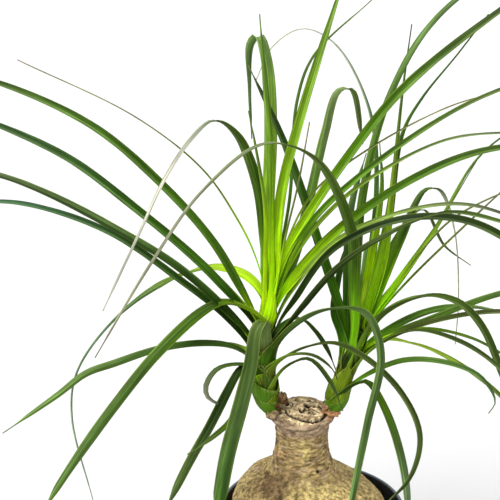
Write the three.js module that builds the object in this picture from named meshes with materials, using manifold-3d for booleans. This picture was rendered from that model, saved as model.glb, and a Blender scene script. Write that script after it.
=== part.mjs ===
// Ponytail palm in a plain round nursery pot: a swollen caudex with a sawn-off neck,
// two leafy shoots that grew from the edge of the cut, and long strap leaves that arch over.
// Millimetres, +Z up, origin at the centre of the pot's underside; the front looks along +Y.
import * as THREE from "three";
import { mergeVertices } from "three/addons/utils/BufferGeometryUtils.js";
import Module from "manifold-3d";

const wasm = await Module();
wasm.setup();

const CLEARANCE = 0.3; // gap between pieces that touch

// Driving dimensions
const POT = {
  height: 135,
  rimRadius: 85,
  rimBand: 13, // depth of the thicker band under the rim
  bodyTopRadius: 83.2,
  baseRadius: 61,
  wall: 1.8,
  floor: 2.4,
  corner: 2, // bevel round the foot
  lip: 1.2, // rounding of the rim's edges
  rimDraft: 0.6, // the band is this much narrower at its foot
  sides: 48,
};
const SOIL_TOP = 119; // height of the potting mix at the wall
const SOIL_CROWN = 2; // how much higher it lies round the trunk
const CUT_HEIGHT = 232; // height of the trunk's sawn face
const BULB_CENTRE_X = -3;
const NECK_CENTRE_X = -10.5;

// Leaves and shoots are placed as they are seen from the front: right of the pot's axis and
// above the cut, in a picture plane through the axis, and at a depth behind that axis.
const SIGHT = {
  distance: 1300,
  lookDown: THREE.MathUtils.degToRad(20),
  centreRight: -57.6,
  centreUp: 144.9,
};

const cutCentre = new THREE.Vector3(0, 0, CUT_HEIGHT);
const sightUp = new THREE.Vector3(0, Math.sin(SIGHT.lookDown), Math.cos(SIGHT.lookDown));
const sightAhead = new THREE.Vector3(0, Math.cos(SIGHT.lookDown), -Math.sin(SIGHT.lookDown));
const onPicture = (right, up) =>
  cutCentre.clone().addScaledVector(sightUp, up).add(new THREE.Vector3(right, 0, 0));
const eye = onPicture(SIGHT.centreRight, SIGHT.centreUp).addScaledVector(sightAhead, -SIGHT.distance);

// The point seen at (right, up) in the picture that lies at depth back behind the pot's axis.
function seen(right, up, back) {
  const ray = onPicture(right, up).sub(eye);
  return eye.clone().addScaledVector(ray, (back - eye.y) / ray.y);
}

const smooth = (value, from, to) => THREE.MathUtils.smoothstep(value, from, to);

// Solids
function toManifold(geometry) {
  const plain = geometry.clone();
  plain.deleteAttribute("normal");
  plain.deleteAttribute("uv");
  const merged = mergeVertices(plain, 1e-4);
  return new wasm.Manifold(
    new wasm.Mesh({
      numProp: 3,
      vertProperties: new Float32Array(merged.attributes.position.array),
      triVerts: new Uint32Array(merged.index.array),
    }),
  );
}

function toGeometry(manifold) {
  const { vertProperties, triVerts, numProp, numVert } = manifold.getMesh();
  const positions = new Float32Array(numVert * 3);
  for (let i = 0; i < numVert; i++) {
    positions.set(vertProperties.subarray(i * numProp, i * numProp + 3), i * 3);
  }
  const geometry = new THREE.BufferGeometry();
  geometry.setAttribute("position", new THREE.BufferAttribute(positions, 3));
  geometry.setIndex(new THREE.BufferAttribute(new Uint32Array(triVerts), 1));
  geometry.computeVertexNormals();
  return geometry;
}

// A closed skin over rings of points, each ring counterclockwise about the way the rings run. The
// second half of a ring splits its quads the mirrored way, so a twisted blade's faces stay parallel.
function skin(rings, startPoint, endPoint) {
  const around = rings[0].length;
  const points = rings.flat().concat([startPoint, endPoint]);
  const start = points.length - 2;
  const end = points.length - 1;
  const faces = [];
  for (let i = 0; i < around; i++) {
    const j = (i + 1) % around;
    faces.push(start, j, i);
    for (let ring = 0; ring < rings.length - 1; ring++) {
      const low = ring * around;
      const high = low + around;
      if (i < around / 2) {
        faces.push(low + i, low + j, high + j, low + i, high + j, high + i);
      } else {
        faces.push(low + i, low + j, high + i, low + j, high + j, high + i);
      }
    }
    const last = (rings.length - 1) * around;
    faces.push(end, last + i, last + j);
  }
  const geometry = new THREE.BufferGeometry().setFromPoints(points);
  geometry.setIndex(faces);
  return geometry;
}

// Pot
function lathe(profile, sides) {
  const turned = profile.map(([r, z]) => new THREE.Vector2(r, z));
  return new THREE.LatheGeometry(turned, sides).rotateX(Math.PI / 2);
}

const wallRadius = (z) =>
  THREE.MathUtils.lerp(POT.baseRadius, POT.bodyTopRadius, z / POT.height) - POT.wall;

function potGeometry() {
  const bandFoot = POT.height - POT.rimBand;
  const bodyAtBand = wallRadius(bandFoot) + POT.wall;
  const aboveFloor = POT.floor + POT.corner;
  return lathe(
    [
      [0, 0],
      [POT.baseRadius - POT.corner, 0],
      [POT.baseRadius, POT.corner],
      [bodyAtBand, bandFoot],
      [POT.rimRadius - POT.rimDraft, bandFoot],
      [POT.rimRadius, POT.height - POT.lip],
      [POT.rimRadius - POT.lip, POT.height],
      [wallRadius(POT.height) + POT.lip, POT.height],
      [wallRadius(POT.height), POT.height - POT.lip],
      [wallRadius(aboveFloor), aboveFloor],
      [wallRadius(POT.floor) - POT.corner, POT.floor],
      [0, POT.floor],
    ],
    POT.sides,
  );
}

// Caudex: the profile runs from the buried underside, over the bulb, up the neck and over the cut.
const CAUDEX_PROFILE = [
  [12, 60],
  [30, 63],
  [47, 72],
  [60, 87],
  [67, 104],
  [73.5, 126],
  [72, 139],
  [66, 149.5],
  [57, 158.5],
  [46.5, 165.5],
  [37, 171.5],
  [30.3, 179],
  [26, 190],
  [24.2, 201],
  [23.6, 212],
  [24, 221],
  [25, 226],
  [24.6, 230.5],
  [22.8, 232.3],
  [21, 230.6],
  [19.6, 232],
  [9, 232.4],
];
const CUT_FACE = 21.5; // radius inside the raised bark edge
const COLLAR = { height: 228, reach: 4.5, spread: 5, width: 0.5 }; // swelling under each shoot
const LOBES = [
  { count: 3, share: 0.016, turn: 0.6 },
  { count: 5, share: 0.012, turn: 2.1 },
];
const NECK_FROM = [150, 195]; // heights over which the bulb's axis passes into the neck's
const SHOULDER = { from: [128, 160], until: [176, 200], lean: 0.06 }; // its left side stands higher

function collarSwelling(radius, angle, height) {
  if (radius < CUT_FACE) return 0;
  const nearTop = Math.exp(-(((height - COLLAR.height) / COLLAR.spread) ** 2));
  const towardsShoots = Math.exp(-((Math.sin(angle) / COLLAR.width) ** 2));
  return COLLAR.reach * nearTop * towardsShoots;
}

function caudexPoint([radius, height], angle, grow) {
  const neck = smooth(height, ...NECK_FROM);
  const centre = THREE.MathUtils.lerp(BULB_CENTRE_X, NECK_CENTRE_X, neck);
  const bare = smooth(height, SOIL_TOP - 12, SOIL_TOP + 12) * (1 - 0.4 * neck);
  const lobes = LOBES.map(({ count, share, turn }) => share * Math.sin(count * angle + turn));
  const swell = 1 + bare * (lobes[0] + lobes[1]);
  const reach = radius * swell + collarSwelling(radius, angle, height) + grow;
  const across = reach * Math.cos(angle);
  const shoulder = smooth(height, ...SHOULDER.from) * (1 - smooth(height, ...SHOULDER.until));
  const lean = -SHOULDER.lean * across * shoulder;
  return new THREE.Vector3(centre + across, reach * Math.sin(angle), height + lean);
}

function caudexGeometry(grow = 0, profile = CAUDEX_PROFILE, sides = 40) {
  const rings = profile.map((step) =>
    Array.from({ length: sides }, (_, i) => caudexPoint(step, (i / sides) * 2 * Math.PI, grow)),
  );
  const underside = new THREE.Vector3(BULB_CENTRE_X, 0, profile[0][1] - 1 - grow);
  const last = profile.at(-1);
  const top = new THREE.Vector3(NECK_CENTRE_X, 0, last[1] + 0.1 + grow);
  return skin(rings, underside, top);
}

// Potting mix: fills the pot round the caudex, with a plain hole where the caudex sits.
function soilGeometry() {
  const aboveFloor = POT.floor + POT.corner;
  const mix = lathe(
    [
      [0, POT.floor + CLEARANCE],
      [wallRadius(POT.floor) - POT.corner - CLEARANCE, POT.floor + CLEARANCE],
      [wallRadius(aboveFloor) - CLEARANCE, aboveFloor],
      [wallRadius(SOIL_TOP) - CLEARANCE, SOIL_TOP],
      [0, SOIL_TOP + SOIL_CROWN],
    ],
    POT.sides,
  );
  const gap = CLEARANCE + 0.1; // a little more than bare clearance, for the flat faces of the hole
  const buried = CAUDEX_PROFILE.filter(([, height]) => height < SOIL_TOP + 25);
  return toGeometry(toManifold(mix).subtract(toManifold(caudexGeometry(gap, buried))));
}

// Shoots: a short green stem for each crown, seen from the front as points up its axis.
const LEFT_SHOOT = {
  axis: [
    seen(-36, -2, 0),
    seen(-42, 12, 0),
    seen(-44.5, 32, 0),
    seen(-44.5, 55, 2),
    seen(-43, 78, 3),
    seen(-42, 104, 3),
  ],
  radii: [8, 12, 11.5, 10.5, 9.5, 6],
};
const RIGHT_SHOOT = {
  axis: [
    seen(13, -4, 0),
    seen(18.5, 7, 0),
    seen(24, 24, 0),
    seen(32, 44, 2),
    seen(39, 62, 3),
    seen(46, 84, 3),
  ],
  radii: [7, 10.5, 10, 9.5, 8.5, 5],
};

// Leaves. Each row holds the blade's widths and its depths (minus is towards the viewer), both at
// even steps from base to tip, and its course from base to tip as pairs of right and up.
const LEFT_LEAVES = [
  // reaching out to the left, highest first
  [[2.2, 1.8, 1.4, 1.2], [5, 10, 15], [-46, 112, -55, 144, -70, 174, -100, 217, -160, 264, -267, 316]],
  [[8, 8, 8, 7, 4], [-4, 0, 10],
    [-50, 72, -62, 100, -90, 150, -140, 206, -200, 256, -285, 295, -345, 308]],
  [[8.5, 8.5, 8.5, 7.5, 4], [4, 14, 24],
    [-50, 69, -60, 85, -100, 130, -160, 181, -220, 226, -285, 257, -330, 272]],
  [[8, 8, 8, 7, 4], [-10, -24, -34],
    [-52, 55, -70, 80, -120, 127, -180, 164, -240, 195, -285, 212, -335, 221]],
  [[7, 7, 7, 6, 3], [8, 22, 40],
    [-54, 48, -80, 85, -120, 117, -180, 158, -240, 181, -285, 188, -330, 180]],
  [[11.5, 11, 10, 9, 5], [-18, -66, -120],
    [-45, 78, -60, 91, -80, 96, -100, 88, -140, 52, -180, 3, -220, -53, -245, -92]],
  [[7.5, 7.5, 7.5, 7.5, 6, 1.3], [-6, -30, -60],
    [-54, 43, -72, 56, -100, 60, -140, 55, -180, 42, -205, 33, -230, 14, -280, -20]],
  [[6, 6, 5.5, 5, 4.2], [-10, -22, -30], [-54, 38, -70, 41, -88, 36, -97, 22, -95, 13, -86, 7]],
  [[9, 9, 8.5, 8, 6], [-30, -60, -85], [-54, 40, -63, 38, -78, 15, -94, -15, -110, -43, -134, -90]],
  [[6, 6, 5.5, 4.5, 1.5], [-44, -84, -110],
    [-54, 32, -66, 10, -75, -9, -90, -23, -104, -33, -114, -39]],
  [[12, 12.5, 13, 13, 11], [-48, -94, -150],
    [-42, 60, -45, 77, -52, 69, -58, 40, -66, 5, -78, -40, -88, -100]],
  [[9, 8, 3, 2.4, 2.2, 1.5], [40, 95, 120],
    [-45, 98, -52, 118, -65, 127, -100, 127, -160, 99, -212, 38, -218, -5, -199, -80]],
  [[9, 9.5, 9, 5, 3.2, 2.4, 2], [-20, -90, -150],
    [-44, 109, -46, 165, -52, 205, -69, 247, -90, 261, -110, 245, -133, 211, -158, 158, -190, 90]],
  // upright in the middle of the crown
  [[10, 10.5, 11, 11, 9, 3.5, 2.5], [20, 60, 110],
    [-43, 91, -43, 150, -39, 250, -42, 310, -50, 337, -57, 330, -58, 290, -56, 245]],
  [[7, 7, 6.5, 5, 1.5], [-10, -20, -30], [-40, 90, -39, 150, -40, 240, -46, 320, -49, 357]],
  [[9.5, 9.5, 9, 7, 2], [-6, -14, -20], [-38, 88, -35, 120, -29, 195, -10, 270, 10, 335, 29, 395]],
  [[4, 4, 3.5, 2.5, 1.2], [-12, -20, -26], [-45, 101, -44, 180, -53, 240, -59, 270]],
  [[2.2, 2, 1.8, 1.6, 1.2], [-24, -34, -44], [-36, 100, -26, 155, -14, 205, -4, 260]],
  // reaching out to the right
  [[9.5, 9, 8.5, 8, 5], [-4, -10, -14],
    [-37, 86, -28, 135, -10, 168, 30, 227, 80, 289, 168, 360, 210, 388]],
  [[2.2, 2, 2, 1.8, 1.2], [0, 0, -4], [-37, 104, -25, 150, 0, 197, 50, 236, 120, 273, 168, 288]],
  [[6, 6, 6, 5, 3], [-10, -20, -30],
    [-36, 84, -28, 122, 0, 172, 50, 218, 120, 266, 168, 289, 222, 306]],
  [[6, 5, 4, 3, 2.4], [-14, -28, -44],
    [-34, 92, -20, 135, 20, 185, 70, 221, 120, 244, 168, 250, 214, 247]],
  [[10.5, 10, 8.5, 7.5, 5], [-8, -12, -10],
    [-38, 80, -20, 115, 20, 160, 80, 203, 140, 230, 190, 238, 250, 232]],
  [[5.5, 5, 4.5, 4, 3], [-16, -34, -50],
    [-36, 74, -20, 107, 20, 153, 80, 179, 130, 186, 168, 178, 205, 160]],
  [[9.5, 9, 8.5, 8, 5], [-52, -72, -88],
    [-36, 68, -20, 95, 20, 147, 80, 172, 130, 172, 168, 157, 215, 120, 232, 92]],
  [[6.5, 6.5, 6.5, 5.5, 3], [-46, -80, -108],
    [-36, 60, -20, 80, 20, 127, 60, 155, 118, 178, 168, 170, 222, 148]],
  [[7, 7, 7, 6.5, 5], [-46, -96, -140],
    [-38, 52, -15, 78, 20, 92, 48, 86, 60, 50, 48, -10, 34, -80, 31, -100]],
  [[5.5, 5.5, 5.5, 5, 3], [-34, -62, -86],
    [-36, 38, -10, 56, 20, 60, 50, 45, 80, 14, 95, -22, 87, -58, 60, -88]],
  [[6, 6, 5.5, 4.5, 1.5], [-14, -26, -34], [-36, 22, -25, 39, -5, 46, 15, 25, 26, 0]],
  [[5.5, 5.5, 5, 4, 1.5], [-20, -34, -40], [-38, 40, -20, 50, 0, 49, 17, 37, 21, 28]],
  [[6, 6, 5.5, 4.5, 1.5], [20, 34, 38], [-36, 68, -15, 83, 0, 72, 12, 55, 20, 36]],
  [[9, 9, 8.5, 7, 4], [50, 110, 140], [-38, 95, -20, 130, -4, 190, 10, 250, 22, 287, 33, 289, 44, 240]],
  [[3, 3, 3, 2.5, 1.2], [50, 90, 120], [-39, 97, -22, 190, -15, 280, 0, 320, 52, 370]],
  // behind the crown, in line with leaves that stand before them
  [[7, 7, 6.5, 5, 1.5], [80, 170, 230], [-48, 74, -59, 88, -100, 131, -160, 181, -200, 211]],
  [[6, 6, 5.5, 4.5, 1.5], [90, 170, 230], [-52, 47, -71, 58, -100, 60, -140, 55, -180, 42]],
  [[8, 8, 7.5, 6, 1.5], [90, 180, 240], [-42, 93, -40, 150, -40, 190, -40, 170, -41, 120]],
  [[5.5, 5.5, 5, 4, 1.5], [80, 150, 210], [-52, 52, -79, 87, -120, 117, -180, 158]],
];

const RIGHT_LEAVES = [
  // leaning and arching over to the left
  [[9, 9, 8.5, 6.5, 2], [20, 30, 10], [30, 48, 24, 85, 3, 153, -26, 238, -59, 311]],
  [[10.5, 10.5, 8.5, 4.2, 3, 2.6, 1.6], [-48, -96, -125],
    [32, 56, 36, 120, 33, 163, 0, 227, -45, 240, -100, 198, -147, 132, -197, 48]],
  [[5, 5, 4, 2.4, 1.6, 1.2], [60, 110, 150],
    [42, 90, 56, 200, 50, 270, 20, 329, -10, 344, -38, 327, -52, 298]],
  [[7, 7, 6.5, 5, 1.5], [26, 50, 70], [29, 46, 24, 70, 18, 88, 22, 120, 32, 160]],
  // upright
  [[8.5, 8, 6.5, 5.5, 4], [20, 44, 60],
    [36, 70, 38, 140, 48, 215, 67, 280, 100, 341, 140, 378, 182, 392]],
  [[10, 9, 7, 4, 1.5], [18, 36, 50], [41, 74, 50, 130, 61, 200, 59, 243]],
  [[10, 8, 4.5, 2.5, 1.2], [24, 50, 76], [46, 82, 62, 135, 72, 215, 80, 290, 88, 348]],
  [[10, 9, 6, 2.6, 1.6], [30, 60, 90], [48, 84, 66, 165, 80, 250, 97, 281, 130, 322, 157, 357]],
  [[8, 8, 7.5, 6, 2], [40, 80, 120], [32, 52, 30, 90, 33, 180, 47, 232]],
  // reaching out to the right
  [[10.5, 9.5, 7.5, 3, 2.2, 1.6], [34, 80, 110],
    [46, 70, 57, 105, 78, 155, 100, 198, 112, 199, 126, 165, 130, 100, 127, 60]],
  [[9, 6.5, 3.4, 2.2, 1.2], [16, 40, 60], [48, 74, 70, 107, 110, 165, 148, 228, 200, 268]],
  [[2.4, 2.4, 2.2, 1.8, 1.2], [8, 14, 20], [50, 78, 75, 115, 120, 169, 160, 192, 205, 208]],
  [[2.4, 2.4, 2.2, 1.8, 1.2], [24, 60, 90], [50, 76, 80, 112, 135, 166, 200, 226]],
  [[7.5, 7.5, 7.5, 6.5, 4], [-20, -44, -70],
    [36, 45, 60, 84, 100, 103, 130, 97, 150, 77, 168, 36, 184, -10, 190, -50]],
  [[8, 8, 7.5, 6, 2], [30, 70, 110], [42, 50, 60, 67, 100, 88, 140, 93, 205, 80]],
  [[7, 7, 7, 6, 3], [14, 40, 70], [42, 46, 65, 65, 105, 82, 168, 105, 220, 112, 268, 102]],
  [[5.5, 5.5, 5.5, 5, 3], [-6, -10, -16], [40, 44, 70, 66, 110, 81, 168, 89, 225, 80, 262, 58]],
  [[5, 5, 5, 4.5, 2], [-24, -50, -76], [40, 42, 60, 60, 90, 72, 130, 63, 165, 40, 185, 15, 198, -15]],
  [[4, 4, 3.5, 3, 1.3], [4, 10, 16], [44, 54, 90, 73, 140, 66, 195, 35]],
  [[6.5, 6.5, 6, 5, 1.5], [30, 60, 90], [40, 52, 60, 63, 90, 60, 130, 42, 168, 13, 190, -15]],
  [[5.5, 5.5, 5.5, 5, 2], [-14, -28, -40], [24, 12, 40, 27, 80, 45, 120, 43, 150, 30, 163, 8, 157, -2]],
  [[7.5, 7.5, 7.5, 7, 5], [-24, -50, -80], [22, 10, 35, 22, 47, 25, 65, -2, 80, -50, 86, -104]],
  [[4, 4, 3.5, 3, 1.3], [60, 110, 150], [48, 82, 70, 150, 97, 181, 118, 148, 141, 131]],
  // behind the crown
  [[6, 6, 6, 5, 1.5], [90, 180, 230], [38, 50, 61, 86, 100, 103, 130, 97, 150, 77]],
  [[6, 5.5, 4, 3, 1.3], [90, 170, 220], [46, 79, 69, 109, 110, 165, 148, 228]],
  [[6, 6, 5.5, 4.5, 1.3], [80, 150, 200], [38, 76, 40, 140, 48, 215, 67, 280]],
  [[8, 8, 7.5, 6, 1.5], [90, 180, 240], [38, 60, 44, 110, 50, 150, 54, 130, 56, 90]],
];

const LEAF = {
  thickness: 0.9,
  rootDrop: 9, // how far below its first point a leaf leaves the stem's axis
  sheath: 13, // width where it clasps the stem
  clasps: [8, 30], // lengths over which the sheath narrows to the blade
  channel: 0.2, // rise of the edges above the midrib, as a share of the width
  narrow: 5, // a blade that starts below this width has four sides
  step: 36, // length between sections
  fewestSteps: 7,
  levelTurn: 0.4, // share of the way that a level blade turns to face the front
  steepTurn: 0.8, // the same where the blade stands or hangs
  turns: [10, 60], // lengths over which it turns
  backShows: { heading: 0.35, slope: [0.15, 0.55] }, // rising towards the viewer, or falling away
};
const STEM = { sides: 12, rings: 11, rootSteps: 40 };

const stemCurve = (shoot) => new THREE.CatmullRomCurve3(shoot.axis, false, "centripetal");

// The point on the stem's axis from which a leaf that comes out at leafStart grows.
function rootOn(shoot, leafStart) {
  const axis = stemCurve(shoot).getPoints(STEM.rootSteps);
  const height = Math.max(leafStart.z - LEAF.rootDrop, axis[2].z);
  const above = axis.find((point) => point.z > height) ?? axis.at(-1);
  const below = axis[axis.indexOf(above) - 1];
  return below.clone().lerp(above, (height - below.z) / (above.z - below.z));
}

// A value that passes smoothly through a row of values at even steps.
function along(values, share) {
  const steps = values.map((value, i) => new THREE.Vector2(i, value));
  return new THREE.SplineCurve(steps).getPoint(share).y;
}

function leafCourse([, depths, readings], shoot) {
  const flat = [];
  for (let i = 0; i < readings.length; i += 2) {
    flat.push(new THREE.Vector2(readings[i], readings[i + 1]));
  }
  const reached = [0];
  for (let i = 1; i < flat.length; i++) {
    reached.push(reached[i - 1] + flat[i].distanceTo(flat[i - 1]));
  }
  const points = flat.map((at, i) =>
    seen(at.x, at.y, along([0, ...depths], reached[i] / reached.at(-1))),
  );
  return new THREE.CatmullRomCurve3([rootOn(shoot, points[0]), ...points], false, "centripetal");
}

// The section of a blade: a flat V, its edges raised above the midrib.
function leafSection(blade, width, corner) {
  const rise = width * LEAF.channel;
  const half = LEAF.thickness / 2;
  const edge = width / 2;
  if (blade < LEAF.narrow) {
    return [corner(-edge, rise), corner(0, half), corner(edge, rise), corner(0, -half)];
  }
  return [
    corner(-edge, rise + half),
    corner(0, half),
    corner(edge, rise + half),
    corner(edge, rise - half),
    corner(0, -half),
    corner(-edge, rise - half),
  ];
}

// The angle by which a blade turns about its length to show one of its faces to the front.
function turnToFront(face, ahead, heading) {
  const wanted = sightAhead.clone().negate().addScaledVector(ahead, sightAhead.dot(ahead));
  const sine = new THREE.Vector3().crossVectors(face, wanted).dot(ahead);
  const angle = Math.atan2(sine, face.dot(wanted));
  const slope = -Math.sign(heading.y) * ahead.z;
  const back = Math.abs(heading.y) > LEAF.backShows.heading ? smooth(slope, ...LEAF.backShows.slope) : 0;
  const share = THREE.MathUtils.lerp(LEAF.levelTurn, LEAF.steepTurn, ahead.z ** 2);
  return share * (angle - Math.sign(angle) * Math.PI * back);
}

function leafGeometry(leaf, shoot) {
  const course = leafCourse(leaf, shoot);
  const length = course.getLength();
  const steps = Math.max(LEAF.fewestSteps, Math.round(length / LEAF.step));
  const heading = course.getPoint(1).sub(course.getPoint(0)).setZ(0).normalize();
  const level = new THREE.Vector3().crossVectors(heading, new THREE.Vector3(0, 0, 1));
  const [widths] = leaf;
  const rings = [];
  for (let i = 0; i <= steps; i++) {
    const reached = (i / steps) * length;
    const centre = course.getPointAt(i / steps);
    const ahead = course.getTangentAt(i / steps);
    const side = level.clone().addScaledVector(ahead, -level.dot(ahead)).normalize();
    const upper = new THREE.Vector3().crossVectors(side, ahead);
    const turn = turnToFront(upper, ahead, heading) * smooth(reached, ...LEAF.turns);
    side.applyAxisAngle(ahead, turn);
    const face = upper.applyAxisAngle(ahead, turn);
    const corner = (across, up) =>
      centre.clone().addScaledVector(side, across).addScaledVector(face, up);
    const clasping = 1 - smooth(reached, ...LEAF.clasps);
    const width = THREE.MathUtils.lerp(along(widths, i / steps), LEAF.sheath, clasping);
    rings.push(leafSection(widths[0], width, corner));
  }
  return skin(rings, course.getPoint(0), course.getPoint(1));
}

function stemGeometry(shoot, grow = 0) {
  const curve = stemCurve(shoot);
  const spans = shoot.radii.length - 1;
  const rings = [];
  for (let i = 0; i < STEM.rings; i++) {
    const share = i / (STEM.rings - 1);
    const low = Math.min(Math.floor(share * spans), spans - 1);
    const within = share * spans - low;
    const radius = THREE.MathUtils.lerp(shoot.radii[low], shoot.radii[low + 1], within) + grow;
    const centre = curve.getPoint(share);
    const ahead = curve.getTangent(share);
    const side = new THREE.Vector3(0, 1, 0).cross(ahead).normalize();
    const depth = new THREE.Vector3().crossVectors(ahead, side);
    rings.push(
      Array.from({ length: STEM.sides }, (_, k) => {
        const angle = (k / STEM.sides) * 2 * Math.PI;
        return centre
          .clone()
          .addScaledVector(side, radius * Math.cos(angle))
          .addScaledVector(depth, radius * Math.sin(angle));
      }),
    );
  }
  const foot = curve.getPoint(0).addScaledVector(curve.getTangent(0), -grow);
  const top = curve.getPoint(1).addScaledVector(curve.getTangent(1), 1 + grow);
  return skin(rings, foot, top);
}

// Keeps only the surface of the largest body, which fills any pocket sealed between leaves.
function outerBody(geometry) {
  const index = geometry.index.array;
  const owner = Array.from({ length: geometry.attributes.position.count }, (_, i) => i);
  const find = (vertex) => {
    let top = vertex;
    while (owner[top] !== top) top = owner[top];
    owner[vertex] = top;
    return top;
  };
  for (let i = 0; i < index.length; i += 3) {
    owner[find(index[i])] = find(index[i + 1]);
    owner[find(index[i + 1])] = find(index[i + 2]);
  }
  const bodies = new Map();
  for (let i = 0; i < index.length; i += 3) {
    const body = find(index[i]);
    if (!bodies.has(body)) bodies.set(body, []);
    bodies.get(body).push(index[i], index[i + 1], index[i + 2]);
  }
  const [largest] = [...bodies.values()].sort((a, b) => b.length - a.length);
  return geometry.clone().setIndex(largest);
}

function shootGeometry(shoot, leaves) {
  let body = toManifold(stemGeometry(shoot));
  for (const leaf of leaves) {
    body = body.add(toManifold(leafGeometry(leaf, shoot)));
  }
  return outerBody(toGeometry(body));
}

function trunkGeometry() {
  let body = toManifold(caudexGeometry());
  for (const shoot of [LEFT_SHOOT, RIGHT_SHOOT]) {
    body = body.subtract(toManifold(stemGeometry(shoot, CLEARANCE)));
  }
  return outerBody(toGeometry(body));
}

// Assembly
const finish = {
  pot: { color: 0x1f2123, roughness: 0.55, metalness: 0 },
  soil: { color: 0x2a2018, roughness: 1, metalness: 0 },
  bark: { color: 0xb59d70, roughness: 0.9, metalness: 0 },
  leaf: { color: 0x4c7f26, roughness: 0.5, metalness: 0 },
};

function part(name, geometry, look) {
  const mesh = new THREE.Mesh(geometry, new THREE.MeshStandardMaterial(look));
  mesh.name = name;
  return mesh;
}

const palm = new THREE.Group();
palm.add(
  part("pot", potGeometry(), finish.pot),
  part("soil", soilGeometry(), finish.soil),
  part("trunk", trunkGeometry(), finish.bark),
  part("left_shoot", shootGeometry(LEFT_SHOOT, LEFT_LEAVES), finish.leaf),
  part("right_shoot", shootGeometry(RIGHT_SHOOT, RIGHT_LEAVES), finish.leaf),
);

export default palm;
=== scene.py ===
# Potted ponytail palm: swollen caudex with a sawn neck, two leafy shoots and a plain nursery pot.
import math
import random

import bpy
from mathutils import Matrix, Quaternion, Vector
from mathutils.noise import noise


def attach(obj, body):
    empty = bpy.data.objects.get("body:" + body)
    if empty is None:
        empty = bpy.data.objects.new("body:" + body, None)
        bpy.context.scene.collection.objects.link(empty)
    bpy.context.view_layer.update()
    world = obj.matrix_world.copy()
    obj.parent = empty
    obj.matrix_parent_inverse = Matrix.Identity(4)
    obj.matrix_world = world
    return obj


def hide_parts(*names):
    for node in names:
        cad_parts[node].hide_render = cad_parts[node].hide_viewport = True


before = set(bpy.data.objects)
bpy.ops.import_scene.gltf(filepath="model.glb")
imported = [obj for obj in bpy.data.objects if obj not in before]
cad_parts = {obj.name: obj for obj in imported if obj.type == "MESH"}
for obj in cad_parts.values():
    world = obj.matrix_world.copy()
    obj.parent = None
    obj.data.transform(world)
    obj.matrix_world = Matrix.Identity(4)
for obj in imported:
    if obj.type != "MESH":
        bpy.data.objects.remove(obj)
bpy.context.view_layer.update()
print("frame loaded:", len(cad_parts), "nodes")

mm = 0.001
up = Vector((0, 0, 1))

# where the plant is looked at from, mm and degrees, as in the CAD
sight = {
    "distance": 1300,
    "lookDown": 20,
    "centreRight": -57.6,
    "centreUp": 144.9,
    "cutHeight": 232,
    "viewWidth": 450,  # of the plane through the cut's centre
    "sensor": 36,
}
lookDown = math.radians(sight["lookDown"])
sightUp = Vector((0, math.sin(lookDown), math.cos(lookDown)))
sightAhead = Vector((0, math.cos(lookDown), -math.sin(lookDown)))


def onPicture(right, high):
    return Vector((right, 0, sight["cutHeight"])) + sightUp * high


eye = onPicture(sight["centreRight"], sight["centreUp"]) - sightAhead * sight["distance"]


def seen(right, high, back):  # the point seen at (right, high) that lies back behind the pot's axis
    ray = onPicture(right, high) - eye
    return eye + ray * ((back - eye.y) / ray.y)


def smooth(value, start, end):
    share = min(1, max(0, (value - start) / (end - start)))
    return share * share * (3 - 2 * share)


def lerp(a, b, share):
    return a + (b - a) * share


def toLinear(hexColour):  # sRGB hex to linear, with alpha
    parts = [int(hexColour[i : i + 2], 16) / 255 for i in (1, 3, 5)]
    return [c / 12.92 if c <= 0.04045 else ((c + 0.055) / 1.055) ** 2.4 for c in parts] + [1]


def blend(a, b, share):  # two linear colours
    return [lerp(x, y, share) for x, y in zip(a, b)]


# camera
cameraData = bpy.data.cameras.new("camera")
cameraData.sensor_width = sight["sensor"]
cameraData.lens = sight["sensor"] * sight["distance"] / sight["viewWidth"]
cameraData.clip_end = 50
camera = bpy.data.objects.new("camera", cameraData)
camera.location = eye * mm
camera.rotation_euler = (math.pi / 2 - lookDown, 0, 0)
bpy.context.collection.objects.link(camera)
bpy.context.scene.camera = camera
print("camera placed")


# nodes and materials
def addNode(tree, kind, settings=None, inputs=None, stops=None):
    node = tree.nodes.new("ShaderNode" + kind)
    for name, value in (settings or {}).items():
        setattr(node, name, value)
    for name, value in (inputs or {}).items():
        if isinstance(value, bpy.types.NodeSocket):
            tree.links.new(value, node.inputs[name])
        else:
            node.inputs[name].default_value = value
    for i, (place, colour) in enumerate(stops or []):
        ramp = node.color_ramp.elements
        stop = ramp[i] if i < len(ramp) else ramp.new(place)
        stop.position = place
        stop.color = colour
    return node


def newMaterial(name):
    material = bpy.data.materials.new(name)
    material.use_nodes = True
    tree = material.node_tree
    tree.nodes.clear()
    return material, tree


def finishMaterial(tree, shader):
    addNode(tree, "OutputMaterial", None, {"Surface": shader.outputs[0]})


def grey(value):
    return [value, value, value, 1]


multiply = {"data_type": "RGBA", "blend_type": "MULTIPLY"}  # settings of a Mix node
perMm = 1000  # a pattern's scale is per metre


def meshPiece(name, points, faces, node, material, colours=None, bladeMap=None):
    mesh = bpy.data.meshes.new(name)
    mesh.from_pydata([p * mm for p in points], [], faces)
    if colours:
        layer = mesh.color_attributes.new("tint", "FLOAT_COLOR", "POINT")
        layer.data.foreach_set("color", [c for colour in colours for c in colour])
    if bladeMap:
        layer = mesh.uv_layers.new(name="blade")
        corners = [bladeMap[loop.vertex_index] for loop in mesh.loops]
        layer.data.foreach_set("uv", [c for corner in corners for c in corner])
    mesh.shade_smooth()
    mesh.materials.append(material)
    piece = bpy.data.objects.new(name, mesh)
    bpy.context.collection.objects.link(piece)
    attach(piece, "root")
    if node:
        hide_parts(node)
    return piece


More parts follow.
